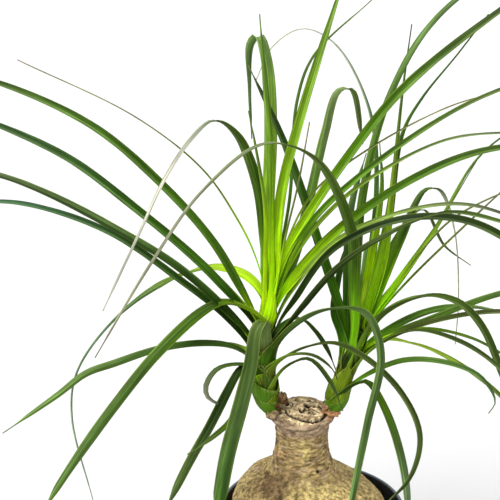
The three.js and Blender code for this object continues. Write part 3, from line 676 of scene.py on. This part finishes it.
leaf = {
    "claspLength": 31,  # mm, as are all lengths here: how far the base runs down the stem
    "claspTurn": 150,  # degrees to each side that the base wraps at its foot
    "startTurn": 62,  # and where the blade leaves the stem
    "claspInset": 3.4,  # how deep the foot lies under the bases outside it
    "layer": 0.05,  # between one base and the next
    "clasps": (172, 7),  # degrees to each side that a base without a blade wraps, low and at its tip
    "opens": (-8, 24),  # from the stem, the way over which the base opens to a blade
    "widens": (-12, 12),  # and over which it takes the width of its sheath
    "sheath": 10,
    "sheathEnds": 24,
    "slimBelow": 7,  # a leaf narrower than this has a slimmer, thinner base
    "channel": 0.2,  # rise of the edges above the midrib, as a share of the width
    "foldAtBase": 0.1,  # more of it where the blade leaves the heart
    "foldEases": (20, 110),
    "tip": 1.1,
    "tipLength": 26,
    "tipTaper": 0.85,
    "levelTurn": 0.4,  # share of the way that a level blade turns to face the front
    "steepTurn": 0.8,  # the same where the blade stands or hangs
    "turns": (0, 60),
    "evenOver": 8,  # rings to each side over which the turn is evened out
    "backHeading": 0.35,  # a blade shows its back where it rises towards the viewer or falls away
    "backSlope": (0.15, 0.55),
    "midThickness": 0.9,
    "edgeThickness": 0.4,
    "claspThickness": 0.5,
    "step": 5,
    "across": 10,  # spans across each face
    "twist": 9,  # degrees of slow wander along the blade
    "twistLength": 70,
    "ripple": 0.25,  # height of the soft waves along the edges
    "rippleLength": 14,
    "ribSpacing": 1.0,  # real ribs are 0.5 mm apart, too fine to show
    "paintedSheen": 0.14,  # painted sheen on the half that faces up, as the blade is folded at its midrib
    "shade": 0.26,  # painted light and shade: how much lighter and darker the halves are
    "halvesShow": (40, 160),
    "paperyEdgeAndHighlight": (0.8, 0.97),  # pale margin, of the half width: papery on the base, partly a painted highlight along the blade's edge
    "backPale": 0.25,
}
# colours of the clasping base, the heart, the middle and the end of the blade, how far in mm the
# lime of the heart reaches, and how brown the tip is
# the tones shade, shadeMid, shadeCool, shadeFresh and deep, and the clasp of over, are darkened partly with
# painted shade, for leaves and bases that lie in the crown's shadow
leafTones = {
    "bright": ("#cbf809", "#bfec04", "#7fae0c", "#66892f", 150, 0.0),
    "fold": ("#cbf809", "#bfec04", "#739f16", "#6b8460", 130, 0.0),
    "brightOut": ("#a9c80c", "#bcf00d", "#558705", "#3d5122", 150, 0.0),
    "brightDusk": ("#a9c81c", "#92c904", "#538605", "#566a30", 110, 0.6),
    "spring": ("#8cb81a", "#a0e008", "#7a9c1c", "#40612c", 130, 0.0),
    "fresh": ("#7fa516", "#93b70f", "#40600a", "#4c6a24", 60, 0.0),
    "limeShort": ("#b4d01e", "#c4e034", "#aecb40", "#4d6529", 90, 0.0),
    "limeThin": ("#b4d01e", "#b8d820", "#4d7048", "#a4b0a6", 140, 0.0),
    "green": ("#769513", "#b4e005", "#5d7f12", "#4b6123", 50, 0.3),
    "mid": ("#5f8c14", "#2c4c04", "#43610c", "#587048", 60, 0.2),
    "deep": ("#3f6a10", "#264004", "#1e3406", "#3b521a", 50, 0.2),
    "limeSheath": ("#7c961a", "#7c961a", "#66801a", "#66801a", 30, 0.0),
    "clasp": ("#6c9a22", "#6c9a22", "#3f7410", "#3f7410", 30, 0.0),
    "shade": ("#2f4a08", "#24400a", "#32520f", "#4a5c30", 30, 0.3),
    "shadeFresh": ("#3f5a10", "#2c4a0c", "#3a5618", "#58742c", 30, 0.0),
    "dark": ("#5c6c08", "#559008", "#3b6808", "#3a5427", 40, 0.2),
    "oliveDark": ("#6b7315", "#80a923", "#405516", "#455823", 40, 0.4),
    "olive": ("#8f9a2c", "#bdf006", "#637624", "#7c7a58", 80, 1.0),
    "dusk": ("#6f8a16", "#66900c", "#83a43a", "#636850", 60, 0.3),
    "grey": ("#4c7a16", "#5cac07", "#4f741d", "#738553", 40, 0.0),
    "broad": ("#3e3c14", "#6c8648", "#3e5820", "#2d5606", 70, 0.0),
    "curl": ("#4c6a1a", "#3a5a10", "#475f24", "#747560", 20, 0.0),
    "arch": ("#5f9a08", "#80b804", "#3f6408", "#b6b8ae", 80, 0.0),
    "over": ("#263a08", "#7cc404", "#3f6408", "#868a78", 90, 0.0),
    "farArch": ("#6f9c10", "#a4e40c", "#3f5e10", "#d4d6d0", 90, 0.0),
    "farThin": ("#5f8c14", "#c4ec2c", "#3f6a2a", "#c6ccc4", 60, 0.0),
    "springDark": ("#8cb81a", "#98d408", "#4c7a20", "#33561f", 130, 0.0),
    "duskLong": ("#a9c81c", "#8cc004", "#64801c", "#4c5638", 110, 0.6),
    "greyDeep": ("#4c7a16", "#3f5a08", "#47642a", "#44642c", 50, 0.0),
    "midLong": ("#5f8c14", "#2c4c04", "#557a1e", "#5a7440", 60, 0.0),
    "wideTop": ("#769513", "#b4e005", "#4d7614", "#4f6a28", 50, 0.3),
    "shadeMid": ("#2f4a08", "#24400a", "#36600f", "#46683a", 30, 0.2),
    "shadeCool": ("#2f4a08", "#24400a", "#335614", "#4e7a50", 30, 0.3),
    "cool": ("#769513", "#84c80c", "#4a6e1c", "#4b6a38", 50, 0.2),
    "brownLine": ("#8f9a2c", "#8cc010", "#4c5c1c", "#5c583c", 60, 0.3),
}
# shares of the blade over which it takes the colour of its end
leafFades = {"arch": (0.42, 0.62), "farArch": (0.42, 0.54), "over": (0.3, 0.8), "other": (0.35, 0.95)}
leafStreaks = (0.8, 0.25, 0.5, 0.6)  # how strong the ribs show in each of the four colours
claspStreaks = 0.35
# the sheen colour is a painted sheen laid on the lit half of each blade
leafEdge, paintedSheenColour, leafBack, leafBrown = map(toLinear, ("#a8b858", "#90a070", "#6c8a30", "#8a6a42"))
shoots = {
    "left": {
        "axis": [(-36, -2, 0), (-42, 12, 0), (-44.5, 32, 0), (-44.5, 55, 2), (-43, 78, 3), (-42, 104, 3)],
        "radii": [8, 12, 11.5, 10.5, 9.5, 6],
        "footShare": 0.8,  # of the radius at the stem's foot, where the bark swells round it
        "leaves": leftLeaves,
        # bases without a blade: turn from the right, foot, height of the closed part, rise to the tip
        "clasps": [(185, 1, 9, 14, "clasp"), (170, 7, 17, 17, "clasp"), (20, 4, 6, 24, "green")],
        "innerClasps": [],  # the same inside the bases of the leaves
        "seed": 11,
    },
    "right": {
        "axis": [(13, -4, 0), (18.5, 7, 0), (24, 24, 0), (32, 44, 2), (39, 62, 3), (46, 84, 3)],
        "radii": [7, 10.5, 10, 9.5, 8.5, 5],
        "footShare": 0.66,
        "leaves": rightLeaves,
        "clasps": [(10, 6, 7, 12, "clasp"), (-30, 2, 6, 17, "clasp"), (170, 8, 8, 18, "green")],
        "innerClasps": [(-95, 6, 1, 46, "limeSheath")],
        "seed": 23,
    },
}


# Living strap leaf, grown from the heart: a thin ribbed blade with a soft waxy sheen that lets light
# through, lime where it was shaded in the heart and deep green where it is old. The darker tones and the
# halves of each blade also carry painted light and shade.
def makeLeafMaterial():
    material, tree = newMaterial("livingStrapLeaf")
    tint = addNode(tree, "VertexColor", {"layer_name": "tint"})
    blade = addNode(tree, "UVMap", {"uv_map": "blade"})
    # the map counts millimetres: a rib is one spacing wide and 83 mm long, a patch 6 by 33 mm
    lengthwise = addNode(tree, "Mapping", None, {
        "Vector": blade.outputs["UV"], "Scale": (1 / leaf["ribSpacing"], 0.012, 1)})
    ribs = addNode(tree, "TexNoise", {"noise_dimensions": "2D"}, {
        "Vector": lengthwise.outputs["Vector"], "Scale": 1.0, "Detail": 2, "Roughness": 0.5})
    mottled = addNode(tree, "Mapping", None, {"Vector": blade.outputs["UV"], "Scale": (0.16, 0.03, 1)})
    patches = addNode(tree, "TexNoise", {"noise_dimensions": "2D"}, {
        "Vector": mottled.outputs["Vector"], "Scale": 1.0, "Detail": 4, "Roughness": 0.6})
    streak = addNode(tree, "ValToRGB", None, {"Fac": ribs.outputs["Fac"]}, [
        (0.34, grey(0.5)), (0.48, grey(0.9)), (0.56, grey(1.15)), (0.7, grey(2.2))])
    patch = addNode(tree, "ValToRGB", None, {"Fac": patches.outputs["Fac"]}, [
        (0.3, grey(0.75)), (0.7, grey(1.2))])
    # the tint's alpha tells how strong the ribs show
    ribbed = addNode(tree, "Mix", multiply, {
        0: tint.outputs["Alpha"], 6: tint.outputs["Color"], 7: streak.outputs["Color"]})
    skinColour = addNode(tree, "Mix", multiply, {0: 1.0, 6: ribbed.outputs[2], 7: patch.outputs["Color"]})
    warmer = addNode(tree, "Mix", multiply, {0: 1.0, 6: skinColour.outputs[2], 7: (1.35, 1.2, 0.35, 1)})
    bump = addNode(tree, "Bump", None, {"Strength": 0.3, "Distance": 0.0003, "Height": ribs.outputs["Fac"]})
    surface = addNode(tree, "BsdfPrincipled", None, {
        "Base Color": skinColour.outputs[2], "Roughness": 0.5, "IOR": 1.42, "Specular IOR Level": 0.14,
        "Normal": bump.outputs["Normal"]})
    through = addNode(tree, "BsdfTranslucent", None, {"Color": warmer.outputs[2]})
    both = addNode(tree, "MixShader", None, {0: 0.3, 1: surface.outputs[0], 2: through.outputs[0]})
    finishMaterial(tree, both)
    return material


def onStem(shoot, reach):  # centre, way and radius of the stem, reach mm from its foot
    line = shoot["line"]
    share = min(0.9999, max(0, reach / shoot["length"]))
    k = int(share * (len(line) - 1))
    spans = len(shoot["radii"]) - 1
    low = int(share * spans)
    radius = lerp(shoot["radii"][low], shoot["radii"][low + 1], share * spans - low)
    radius *= lerp(shoot["footShare"], 1, smooth(reach, 0, 14))
    return line[k].lerp(line[k + 1], share * (len(line) - 1) - k), shoot["ways"][k], radius


def leafColours(tone, rng):  # the tone's colours, reach and brown, a little different on each leaf
    light = rng.uniform(0.84, 1.18)
    warm = rng.uniform(-0.07, 0.07)
    *hexColours, reach, brown = leafTones[tone]
    colours = []
    for hexColour, streaks in zip(hexColours, leafStreaks):
        r, g, b, _ = toLinear(hexColour)
        colours.append([r * light * (1 + warm), g * light, b * light * (1 - warm), streaks])
    return colours, reach * rng.uniform(0.85, 1.2), brown


def colourAlong(tone, tints, past, share):  # past the stem in mm, and as a share of the blade
    (clasp, heart, middle, end), reach, brown = tints
    colour = blend(clasp, heart, smooth(past, -10, 8))
    colour = blend(colour, middle, smooth(past, 6, reach))
    colour = blend(colour, end, smooth(share, *leafFades.get(tone, leafFades["other"])))
    return blend(colour, leafBrown, brown * smooth(share, 0.93, 0.99))


def colourAcross(colour, across, lower, lightSide, past, share):  # across goes from -1 to 1
    # the pale margin is papery on the base and, on the blade, partly a painted highlight along the edge
    paleMargin = smooth(abs(across), *leaf["paperyEdgeAndHighlight"]) * lerp(0.75, 0.45, smooth(past, -6, 16))
    # painted light and shade: the half towards lightSide is painted lighter, with a painted sheen, and the
    # other half darker
    paintedLight = lightSide * (2 * smooth(across, -0.25, 0.25) - 1) * smooth(past, *leaf["halvesShow"])
    colour = blend(colour, paintedSheenColour, leaf["paintedSheen"] * max(0, paintedLight))
    colour = [c * (1 + leaf["shade"] * paintedLight) for c in colour[:3]] + colour[3:]
    colour = blend(colour, leafEdge, paleMargin * (1 - 0.4 * share))
    return blend(colour, leafBack, leaf["backPale"] * smooth(past, 60, 160) if lower else 0)


def bladeRing(centre, side, face, shape):  # one cross section: points, places across, which face
    wide, bend, fold, ripple, thick = shape
    spans = leaf["across"]
    ring = []
    for lower in (False, True):
        for k in range(spans + 1) if not lower else range(spans - 1, 0, -1):
            across = 2 * k / spans - 1
            turn = across * wide / 2 * bend
            out = math.sin(turn) / bend if bend > 0.001 else across * wide / 2
            lift = (1 - math.cos(turn)) / bend if bend > 0.001 else 0
            lift += wide * fold * abs(across) ** 1.3 + ripple * across * abs(across)
            half = lerp(thick, leaf["edgeThickness"] * thick, across * across) / 2
            if lower:
                half = -half
            elif abs(across) == 1:
                half = 0
            inward = face * math.cos(turn) - side * math.sin(turn)
            ring.append((centre + side * out + face * lift + inward * half, across, lower))
    return ring


def closedBlade(rings, start, end, colours, bladeMap):  # both ends take the look next to them
    points, faces = skin(rings, start, end)
    return points, faces, colours + [colours[0], colours[-1]], bladeMap + [bladeMap[0], bladeMap[-1]]


# the line of a leaf from its foot on the stem, where the blade starts, its heading and its foot
def leafCourse(shoot, depths, readings, rank, rng):
    flat = [Vector((readings[i], readings[i + 1])) for i in range(0, len(readings), 2)]
    reached = [0]
    for a, b in zip(flat, flat[1:]):
        reached.append(reached[-1] + (b - a).length)
    allDepths = [0] + depths
    places = [(at, r, throughValues(allDepths, r / reached[-1])) for at, r in zip(flat, reached)]
    heading = (seen(*places[-1][0], places[-1][2]) - seen(*places[0][0], 0)) * Vector((1, 1, 0))
    heading.normalize()
    low = seen(*places[0][0], 0).z
    start = shoot["length"] * sum(1 for p in shoot["line"] if p.z <= low) / len(shoot["line"])
    foot = max(rng.uniform(-1, 4), start - leaf["claspLength"] * rng.uniform(0.9, 1.15))
    base = []
    reach = foot
    while not base or reach < start - 10:
        centre, way, radius = onStem(shoot, reach)
        outward = (heading - way * way.dot(heading)).normalized()
        inset = leaf["claspInset"] * (1 - (reach - foot) / max(6, start - foot)) + leaf["layer"] * rank
        base.append(centre + outward * (radius - inset))
        reach += 7
    _, _, radius = onStem(shoot, start)
    # the blade's first stretch leaves the stem's surface, not its middle
    nearer = [heading.y * radius * max(0, 1 - r / 60) for r in reached]
    blade = [seen(at.x, at.y, depth + shift) for (at, _, depth), shift in zip(places, nearer)]
    return base + blade, blade[0], heading, foot


def turnToFront(face, ahead, heading):  # about its length, to show one of its faces to the front
    wanted = -sightAhead + ahead * sightAhead.dot(ahead)
    angle = math.atan2(face.cross(wanted).dot(ahead), face.dot(wanted))
    slope = -ahead.z * math.copysign(1, heading.y)
    back = smooth(slope, *leaf["backSlope"]) if abs(heading.y) > leaf["backHeading"] else 0
    share = lerp(leaf["levelTurn"], leaf["steepTurn"], ahead.z**2)
    return share * (angle - math.copysign(math.pi, angle) * back)


def evened(values, reach):  # each becomes the mean of those near it
    result = []
    for i in range(len(values)):
        near = values[max(0, i - reach) : i + reach + 1]
        result.append(sum(near) / len(near))
    return result


def makeLeaf(shoot, row, rank, rng):
    tone, widths, depths, readings = row
    line, startPoint, heading, foot = leafCourse(shoot, depths, readings, rank, rng)
    _, length = throughPoints(line, 40)
    course, length = throughPoints(line, max(20, round(length / leaf["step"])))
    ahead = directions(course)
    level = heading.cross(up)
    nearest = min(range(len(course)), key=lambda i: (course[i] - startPoint).length)
    joint = length * nearest / (len(course) - 1)
    tints = leafColours(tone, rng)
    offset = Vector((rng.uniform(0, 90), rng.uniform(0, 90), rng.uniform(0, 90)))
    bladeShift = rng.uniform(0, 4000)
    # the side of the blade that is painted lighter
    lightSide = -1 if level.x > 0 else 1
    slim = min(1, widths[0] / leaf["slimBelow"])
    sides = [(level - way * level.dot(way)).normalized() for way in ahead]
    turns = [turnToFront(side.cross(way), way, heading) for side, way in zip(sides, ahead)]
    turns = evened(turns, leaf["evenOver"])
    rings, colours, bladeMap = [], [], []
    for i, (centre, way, side) in enumerate(zip(course, ahead, sides)):
        along = length * i / (len(course) - 1)
        past = along - joint
        share = max(0, past) / (length - joint)
        wander = math.radians(leaf["twist"]) * noise(offset + Vector((along / leaf["twistLength"], 0, 0)))
        turn = turns[i] * smooth(past, *leaf["turns"])
        side.rotate(Quaternion(way, turn + wander * smooth(past, 10, 70)))
        face = side.cross(way)
        _, _, radius = onStem(shoot, foot + min(along, joint))
        radius = max(2.5, radius - leaf["claspInset"] * max(0, 1 - along / max(6, joint)))
        opened = smooth(past, *leaf["opens"])
        wrap = lerp(leaf["claspTurn"], leaf["startTurn"], smooth(along, 0, joint)) * slim
        grown = throughValues(widths, share)
        blade = lerp(leaf["sheath"] * slim, grown, smooth(past, 0, leaf["sheathEnds"]))
        if tone != "curl":  # that one's tip was cut
            blade *= 1 - leaf["tipTaper"] * smooth(along, length - leaf["tipLength"], length)
        blade = max(leaf["tip"], blade)
        wide = lerp(2 * math.radians(wrap) * radius, blade, smooth(past, *leaf["widens"]))
        fold = (leaf["channel"] + leaf["foldAtBase"] * (1 - smooth(past, *leaf["foldEases"]))) * opened
        waves = noise(offset + Vector((0, along / leaf["rippleLength"], 0)))
        ripple = leaf["ripple"] * waves * smooth(past, 30, 80)
        thick = lerp(leaf["claspThickness"], leaf["midThickness"] * (0.6 + 0.4 * slim), opened)
        ring = bladeRing(centre, side, face, (wide, (1 - opened) / radius, fold, ripple, thick))
        colour = colourAlong(tone, tints, past, share)
        for point, across, lower in ring:
            colours.append(colourAcross(colour, across, lower, lightSide, past, share))
            bladeMap.append((across * wide / 2 + bladeShift, along + (900 if lower else 0)))
        rings.append([point for point, _, _ in ring])
    return closedBlade(rings, course[0] - ahead[0] * 0.1, course[-1] + ahead[-1] * 0.4, colours, bladeMap)


def makeClasp(shoot, clasp, rng):  # the base of a leaf whose blade is gone
    turn, foot, closed, rise, tone = clasp
    (base, _, middle, _), _, _ = leafColours(tone, rng)
    angle = math.radians(turn)
    heading = Vector((math.cos(angle), math.sin(angle), 0))
    rings, colours, bladeMap = [], [], []
    bladeShift = rng.uniform(0, 4000)
    count = round((closed + rise) / 1.5)
    for i in range(count + 1):
        along = (closed + rise) * i / count
        centre, way, radius = onStem(shoot, max(0.2, foot + along))
        outward = (heading - way * way.dot(heading)).normalized()
        side = way.cross(outward) * -1
        narrows = max(0, along - closed) / rise
        wrap = math.radians(lerp(*leaf["clasps"], narrows))
        # its foot lies under the skin of the stem and its tip stands off it
        radius += 0.4 * smooth(along, 0, closed + rise * 0.5) - 0.7 * (1 - smooth(along, 0, 6))
        shape = (2 * wrap * radius, 1 / radius, 0, 0, leaf["claspThickness"])
        ring = bladeRing(centre + outward * radius, side, outward * -1, shape)
        colour = blend(base, middle, 0.35 + 0.3 * noise(Vector((turn, along / 9, 0))))
        colour[3] = claspStreaks
        above = smooth(along, closed - 2, closed + 1)
        for point, across, _ in ring:
            paleMargin = smooth(abs(across), 0.9 - 0.25 * narrows, 0.985) * above
            colours.append(blend(colour, leafEdge, 0.85 * paleMargin))
            bladeMap.append((across * wrap * radius + bladeShift, along))
        rings.append([point for point, _, _ in ring])
    start = sum(rings[0], Vector()) / len(rings[0])
    end = sum(rings[-1], Vector()) / len(rings[-1])
    return closedBlade(rings, start, end, colours, bladeMap)


stem = {
    "rings": 120,
    "sides": 48,
    "inset": 4.2,  # mm that it lies under the outer clasping bases
    "insetOver": (10, 34),
    "ends": 0.86,  # share of the axis, as only leaves go on to its end
    "green": toLinear("#4f7d1c"),
    "brown": toLinear("#6b5a2c"),
}


def makeStem(shoot):
    rings, colours, bladeMap = [], [], []
    for i in range(stem["rings"]):
        reach = shoot["length"] * stem["ends"] * i / (stem["rings"] - 1)
        centre, way, radius = onStem(shoot, reach)
        radius = max(2, radius - stem["inset"] * smooth(reach, *stem["insetOver"]))
        side = Vector((0, 1, 0)).cross(way).normalized()
        depth = way.cross(side)
        ring = []
        for k in range(stem["sides"]):
            angle = 2 * math.pi * k / stem["sides"]
            outward = side * math.cos(angle) + depth * math.sin(angle)
            spot = centre + outward * radius
            ring.append(spot + outward * 0.3 * noise(spot / 3))
            brown = (1 - smooth(reach, 1, 5)) * smooth(noise(spot / 2.5), -0.4, 0.3)
            colours.append(blend(stem["green"], stem["brown"], brown))
            bladeMap.append((angle * radius, reach))
        rings.append(ring)
    return closedBlade(rings, shoot["line"][0], centre + way, colours, bladeMap)


def makeShoot(name, material):
    shoot = shoots[name]
    rng = random.Random(shoot["seed"])
    shoot["line"], shoot["length"] = throughPoints([seen(*place) for place in shoot["axis"]], 160)
    shoot["ways"] = directions(shoot["line"])
    rows = shoot["leaves"]
    # a base that starts lower lies outside those above it
    order = sorted(range(len(rows)), key=lambda i: rows[i][3][1])
    ranks = {row: rank for rank, row in enumerate(order)}
    parts = [makeStem(shoot)] + [makeClasp(shoot, clasp, rng) for clasp in shoot["clasps"]]
    parts += [makeLeaf(shoot, row, ranks[i], rng) for i, row in enumerate(rows)]
    parts += [makeClasp(shoot, clasp, rng) for clasp in shoot["innerClasps"]]
    points, faces, colours, bladeMap = [], [], [], []
    for partPoints, partFaces, partColours, partMap in parts:
        addPart(points, faces, partPoints, partFaces)
        colours += partColours
        bladeMap += partMap
    meshPiece(name + "Crown", points, faces, name + "_shoot", material, colours, bladeMap)
    print(name, "shoot made:", len(rows), "leaves,", len(faces), "faces")


leafMaterial = makeLeafMaterial()
makeShoot("left", leafMaterial)
makeShoot("right", leafMaterial)


# pot
pot = {
    "height": 135,  # mm, as are all sizes here
    "rimRadius": 85,
    "rimBand": 13,
    "bodyTopRadius": 83.2,
    "baseRadius": 61,
    "wall": 1.8,
    "floor": 2.4,
    "corner": 2,  # bevel at the foot
    "lip": 1.2,  # bevels of the rim
    "rimDraft": 0.6,
    "rounding": 0.7,  # of every edge of the profile
    "sides": 180,
    "scuffSize": 9,
    "blacks": ("#0c0d0f", "#1e2124"),
    # colour of the painted highlight on the lip
    "lipHighlightGrey": "#4f5a64",
}


def wallRadius(z):
    return lerp(pot["baseRadius"], pot["bodyTopRadius"], z / pot["height"]) - pot["wall"]


def roundOver(corners, radius, steps=4):  # a profile with each inner corner rounded
    result = [corners[0]]
    for a, b, c in zip(corners, corners[1:], corners[2:]):
        a, b, c = Vector(a), Vector(b), Vector(c)
        reach = min(radius, (a - b).length * 0.45, (c - b).length * 0.45)
        start, end = b + (a - b).normalized() * reach, b + (c - b).normalized() * reach
        for k in range(steps + 1):
            t = k / steps
            spot = start.lerp(b, t).lerp(b.lerp(end, t), t)
            result.append((spot.x, spot.y))
    result.append(corners[-1])
    return result


# Polypropylene, injection moulded in black: a low satin gloss, greyed by scuffs and dust.
def makePotMaterial():
    material, tree = newMaterial("polypropyleneMoulded")
    place = addNode(tree, "TexCoord").outputs["Object"]
    scuffs = addNode(tree, "TexNoise", None, {
        "Vector": place, "Scale": perMm / pot["scuffSize"], "Detail": 8, "Roughness": 0.7})
    black, dusty = map(toLinear, pot["blacks"])
    dust = addNode(tree, "ValToRGB", None, {"Fac": scuffs.outputs["Fac"]}, [(0.35, black), (0.75, dusty)])
    gloss = addNode(tree, "ValToRGB", None, {"Fac": scuffs.outputs["Fac"]}, [
        (0.3, grey(0.22)), (0.7, grey(0.4))])
    # the top of the lip is painted blue grey: a painted highlight where the satin rim would catch the sky
    height = addNode(tree, "SeparateXYZ", None, {"Vector": place})
    lipHighlight = addNode(tree, "MapRange", None, {
        "Value": height.outputs["Z"], "From Min": (pot["height"] - pot["lip"]) * mm,
        "From Max": (pot["height"] - 0.2) * mm, "To Max": 0.85})
    colour = addNode(tree, "Mix", {"data_type": "RGBA"}, {
        0: lipHighlight.outputs[0], 6: dust.outputs["Color"], 7: toLinear(pot["lipHighlightGrey"])})
    bump = addNode(tree, "Bump", None, {
        "Strength": 0.15, "Distance": 0.0004, "Height": scuffs.outputs["Fac"]})
    shader = addNode(tree, "BsdfPrincipled", None, {
        "Base Color": colour.outputs[2], "Roughness": gloss.outputs["Color"], "IOR": 1.49,
        "Normal": bump.outputs["Normal"]})
    finishMaterial(tree, shader)
    return material


def makePot():
    p = pot
    bandFoot = p["height"] - p["rimBand"]
    bodyAtBand = wallRadius(bandFoot) + p["wall"]
    corners = [
        (0, 0), (p["baseRadius"] - p["corner"], 0), (p["baseRadius"], p["corner"]), (bodyAtBand, bandFoot),
        (p["rimRadius"] - p["rimDraft"], bandFoot), (p["rimRadius"], p["height"] - p["lip"]),
        (p["rimRadius"] - p["lip"], p["height"]), (wallRadius(p["height"]) + p["lip"], p["height"]),
        (wallRadius(p["height"]), p["height"] - p["lip"]), (wallRadius(p["floor"] + 2), p["floor"] + 2),
        (wallRadius(p["floor"]) - 2, p["floor"]), (0, p["floor"]),
    ]
    profile = roundOver(corners, p["rounding"])
    rings = [circle(radius, z, p["sides"]) for radius, z in profile[1:-1]]
    points, faces = skin(rings, Vector((0, 0, 0)), Vector((0, 0, p["floor"])))
    meshPiece("nurseryPot", points, faces, "pot", makePotMaterial())


makePot()
print("pot made")


# potting mix
soil = {
    "crown": 2,  # mm, as are all sizes here: how much higher the middle lies
    "hole": 60,  # radius of the hole that the caudex fills
    "gap": 0.3,  # to the wall of the pot
    "bottom": 2.2,  # above the pot's floor
    "rings": 60,
    "sides": 260,
    "lumpSize": 5,
    "lumpHeight": 1.6,
    "crumbs": 1500,
    "crumbsFrom": 66,  # least radius
    "crumbsOffWall": 2.2,
    "crumbSizes": (0.7, 2.6),
    "seed": 5,
    "grainSize": 2.38,
    "browns": [(0.35, "#120c08"), (0.55, "#2b1f14"), (0.75, "#6b5236")],
}


# Peat and bark crumbs, moist: near black brown, rough, with paler fibres.
def makeSoilMaterial():
    material, tree = newMaterial("peatAndBarkMoist")
    place = addNode(tree, "TexCoord").outputs["Object"]
    crumbs = addNode(tree, "TexNoise", None, {
        "Vector": place, "Scale": perMm / soil["grainSize"], "Detail": 6, "Roughness": 0.7})
    colour = addNode(tree, "ValToRGB", None, {"Fac": crumbs.outputs["Fac"]}, [
        (share, toLinear(brown)) for share, brown in soil["browns"]])
    bump = addNode(tree, "Bump", None, {
        "Strength": 0.9, "Distance": 0.001, "Height": crumbs.outputs["Fac"]})
    shader = addNode(tree, "BsdfPrincipled", None, {
        "Base Color": colour.outputs["Color"], "Roughness": 0.95, "Normal": bump.outputs["Normal"]})
    finishMaterial(tree, shader)
    return material


def soilHeight(x, y):
    radius = math.hypot(x, y)
    dome = soilTop + soil["crown"] * (1 - radius / wallRadius(soilTop))
    spot = Vector((x, y, 3)) / soil["lumpSize"]
    return dome + soil["lumpHeight"] * (0.6 * noise(spot) + 0.3 * noise(spot * 2.4)) - 0.6


def makeSoil(material):
    outer = wallRadius(soilTop) - soil["gap"]
    bottom = pot["floor"] + soil["bottom"]
    sides = soil["sides"]
    foot = circle(wallRadius(pot["floor"] + 2) - 2 * soil["gap"], bottom, sides)
    rings = [foot, circle(outer - 0.2, soilTop - 2, sides)]
    for k in range(soil["rings"] + 1):
        ring = circle(lerp(outer, soil["hole"], k / soil["rings"]), 0, sides)
        for spot in ring:
            spot.z = soilHeight(spot.x, spot.y)
        rings.append(ring)
    points, faces = skin(rings, Vector((0, 0, bottom)), Vector((0, 0, 100)))
    meshPiece("pottingMix", points, faces, "soil", material)


def makeCrumbs(material):
    rng = random.Random(soil["seed"])
    points, faces = [], []
    shape = [(1, 0, 0), (-1, 0, 0), (0, 1, 0), (0, -1, 0), (0, 0, 1), (0, 0, -1)]
    sidesOf = [(0, 2, 4), (2, 1, 4), (1, 3, 4), (3, 0, 4), (2, 0, 5), (1, 2, 5), (3, 1, 5), (0, 3, 5)]
    for _ in range(soil["crumbs"]):
        angle = rng.uniform(0, 2 * math.pi)
        radius = rng.uniform(soil["crumbsFrom"], wallRadius(soilTop) - soil["crumbsOffWall"])
        size = rng.uniform(*soil["crumbSizes"]) * rng.uniform(0.6, 1)
        x, y = radius * math.cos(angle), radius * math.sin(angle)
        centre = Vector((x, y, soilHeight(x, y) + size * 0.3))
        corners = []
        for corner in shape:
            uneven = Vector((rng.uniform(0.7, 1.5), rng.uniform(0.7, 1.5), rng.uniform(0.5, 1)))
            corners.append(centre + Vector(corner) * uneven * size * 0.5)
        addPart(points, faces, corners, sidesOf)
    piece = meshPiece("soilCrumbs", points, faces, None, material)
    piece.data.shade_flat()


soilMaterial = makeSoilMaterial()
makeSoil(soilMaterial)
makeCrumbs(soilMaterial)
print("potting mix made")


# floor, light and air
studio = {
    "floor": ("#c4c4c4", "#c8c8c8"),
    "floorSize": 24,  # m
    "cloudSize": 0.6,  # m, of the faint clouds that the roller leaves
    "airLow": 0.35,  # at the horizon
    "airHigh": 1.2,  # overhead
    "lights": [  # name, where it comes from, strength, width in degrees
        ("keyLeft", (-0.9, -0.9, 1.9), 3.4, 40),
        ("rimRight", (1.2, 0.9, 1.6), 0.6, 60),
    ],
}


# Painted board, rolled matt white.
def makeFloorMaterial():
    material, tree = newMaterial("paintedBoardRolled")
    grain = addNode(tree, "TexNoise", None, {
        "Scale": studio["floorSize"] / studio["cloudSize"], "Detail": 2})
    dull, pale = map(toLinear, studio["floor"])
    tone = addNode(tree, "ValToRGB", None, {"Fac": grain.outputs["Fac"]}, [(0.3, dull), (0.7, pale)])
    shader = addNode(tree, "BsdfPrincipled", None, {"Base Color": tone.outputs["Color"], "Roughness": 0.9})
    finishMaterial(tree, shader)
    return material


def makeStudio():
    half = studio["floorSize"] / 2
    mesh = bpy.data.meshes.new("floor")
    corners = [(-half, -half, 0), (half, -half, 0), (half, half, 0), (-half, half, 0)]
    mesh.from_pydata(corners, [], [(0, 1, 2, 3)])
    mesh.materials.append(makeFloorMaterial())
    floor = bpy.data.objects.new("floor", mesh)
    bpy.context.collection.objects.link(floor)
    world = bpy.data.worlds.new("air")
    world.use_nodes = True
    tree = world.node_tree
    height = addNode(tree, "SeparateXYZ", None, {0: addNode(tree, "TexCoord").outputs["Generated"]})
    strength = addNode(tree, "MapRange", None, {
        "Value": height.outputs["Z"], "To Min": studio["airLow"], "To Max": studio["airHigh"]})
    tree.links.new(strength.outputs[0], tree.nodes["Background"].inputs["Strength"])
    tree.nodes["Background"].inputs["Color"].default_value = toLinear("#ffffff")
    bpy.context.scene.world = world
    for name, place, strength, wide in studio["lights"]:
        data = bpy.data.lights.new(name, "SUN")
        data.energy = strength
        data.angle = math.radians(wide)
        light = bpy.data.objects.new(name, data)
        light.location = place
        light.rotation_euler = (-Vector(place)).to_track_quat("-Z", "Y").to_euler()
        bpy.context.collection.objects.link(light)
    bpy.context.scene.view_settings.view_transform = "Standard"


makeStudio()
print("studio made")
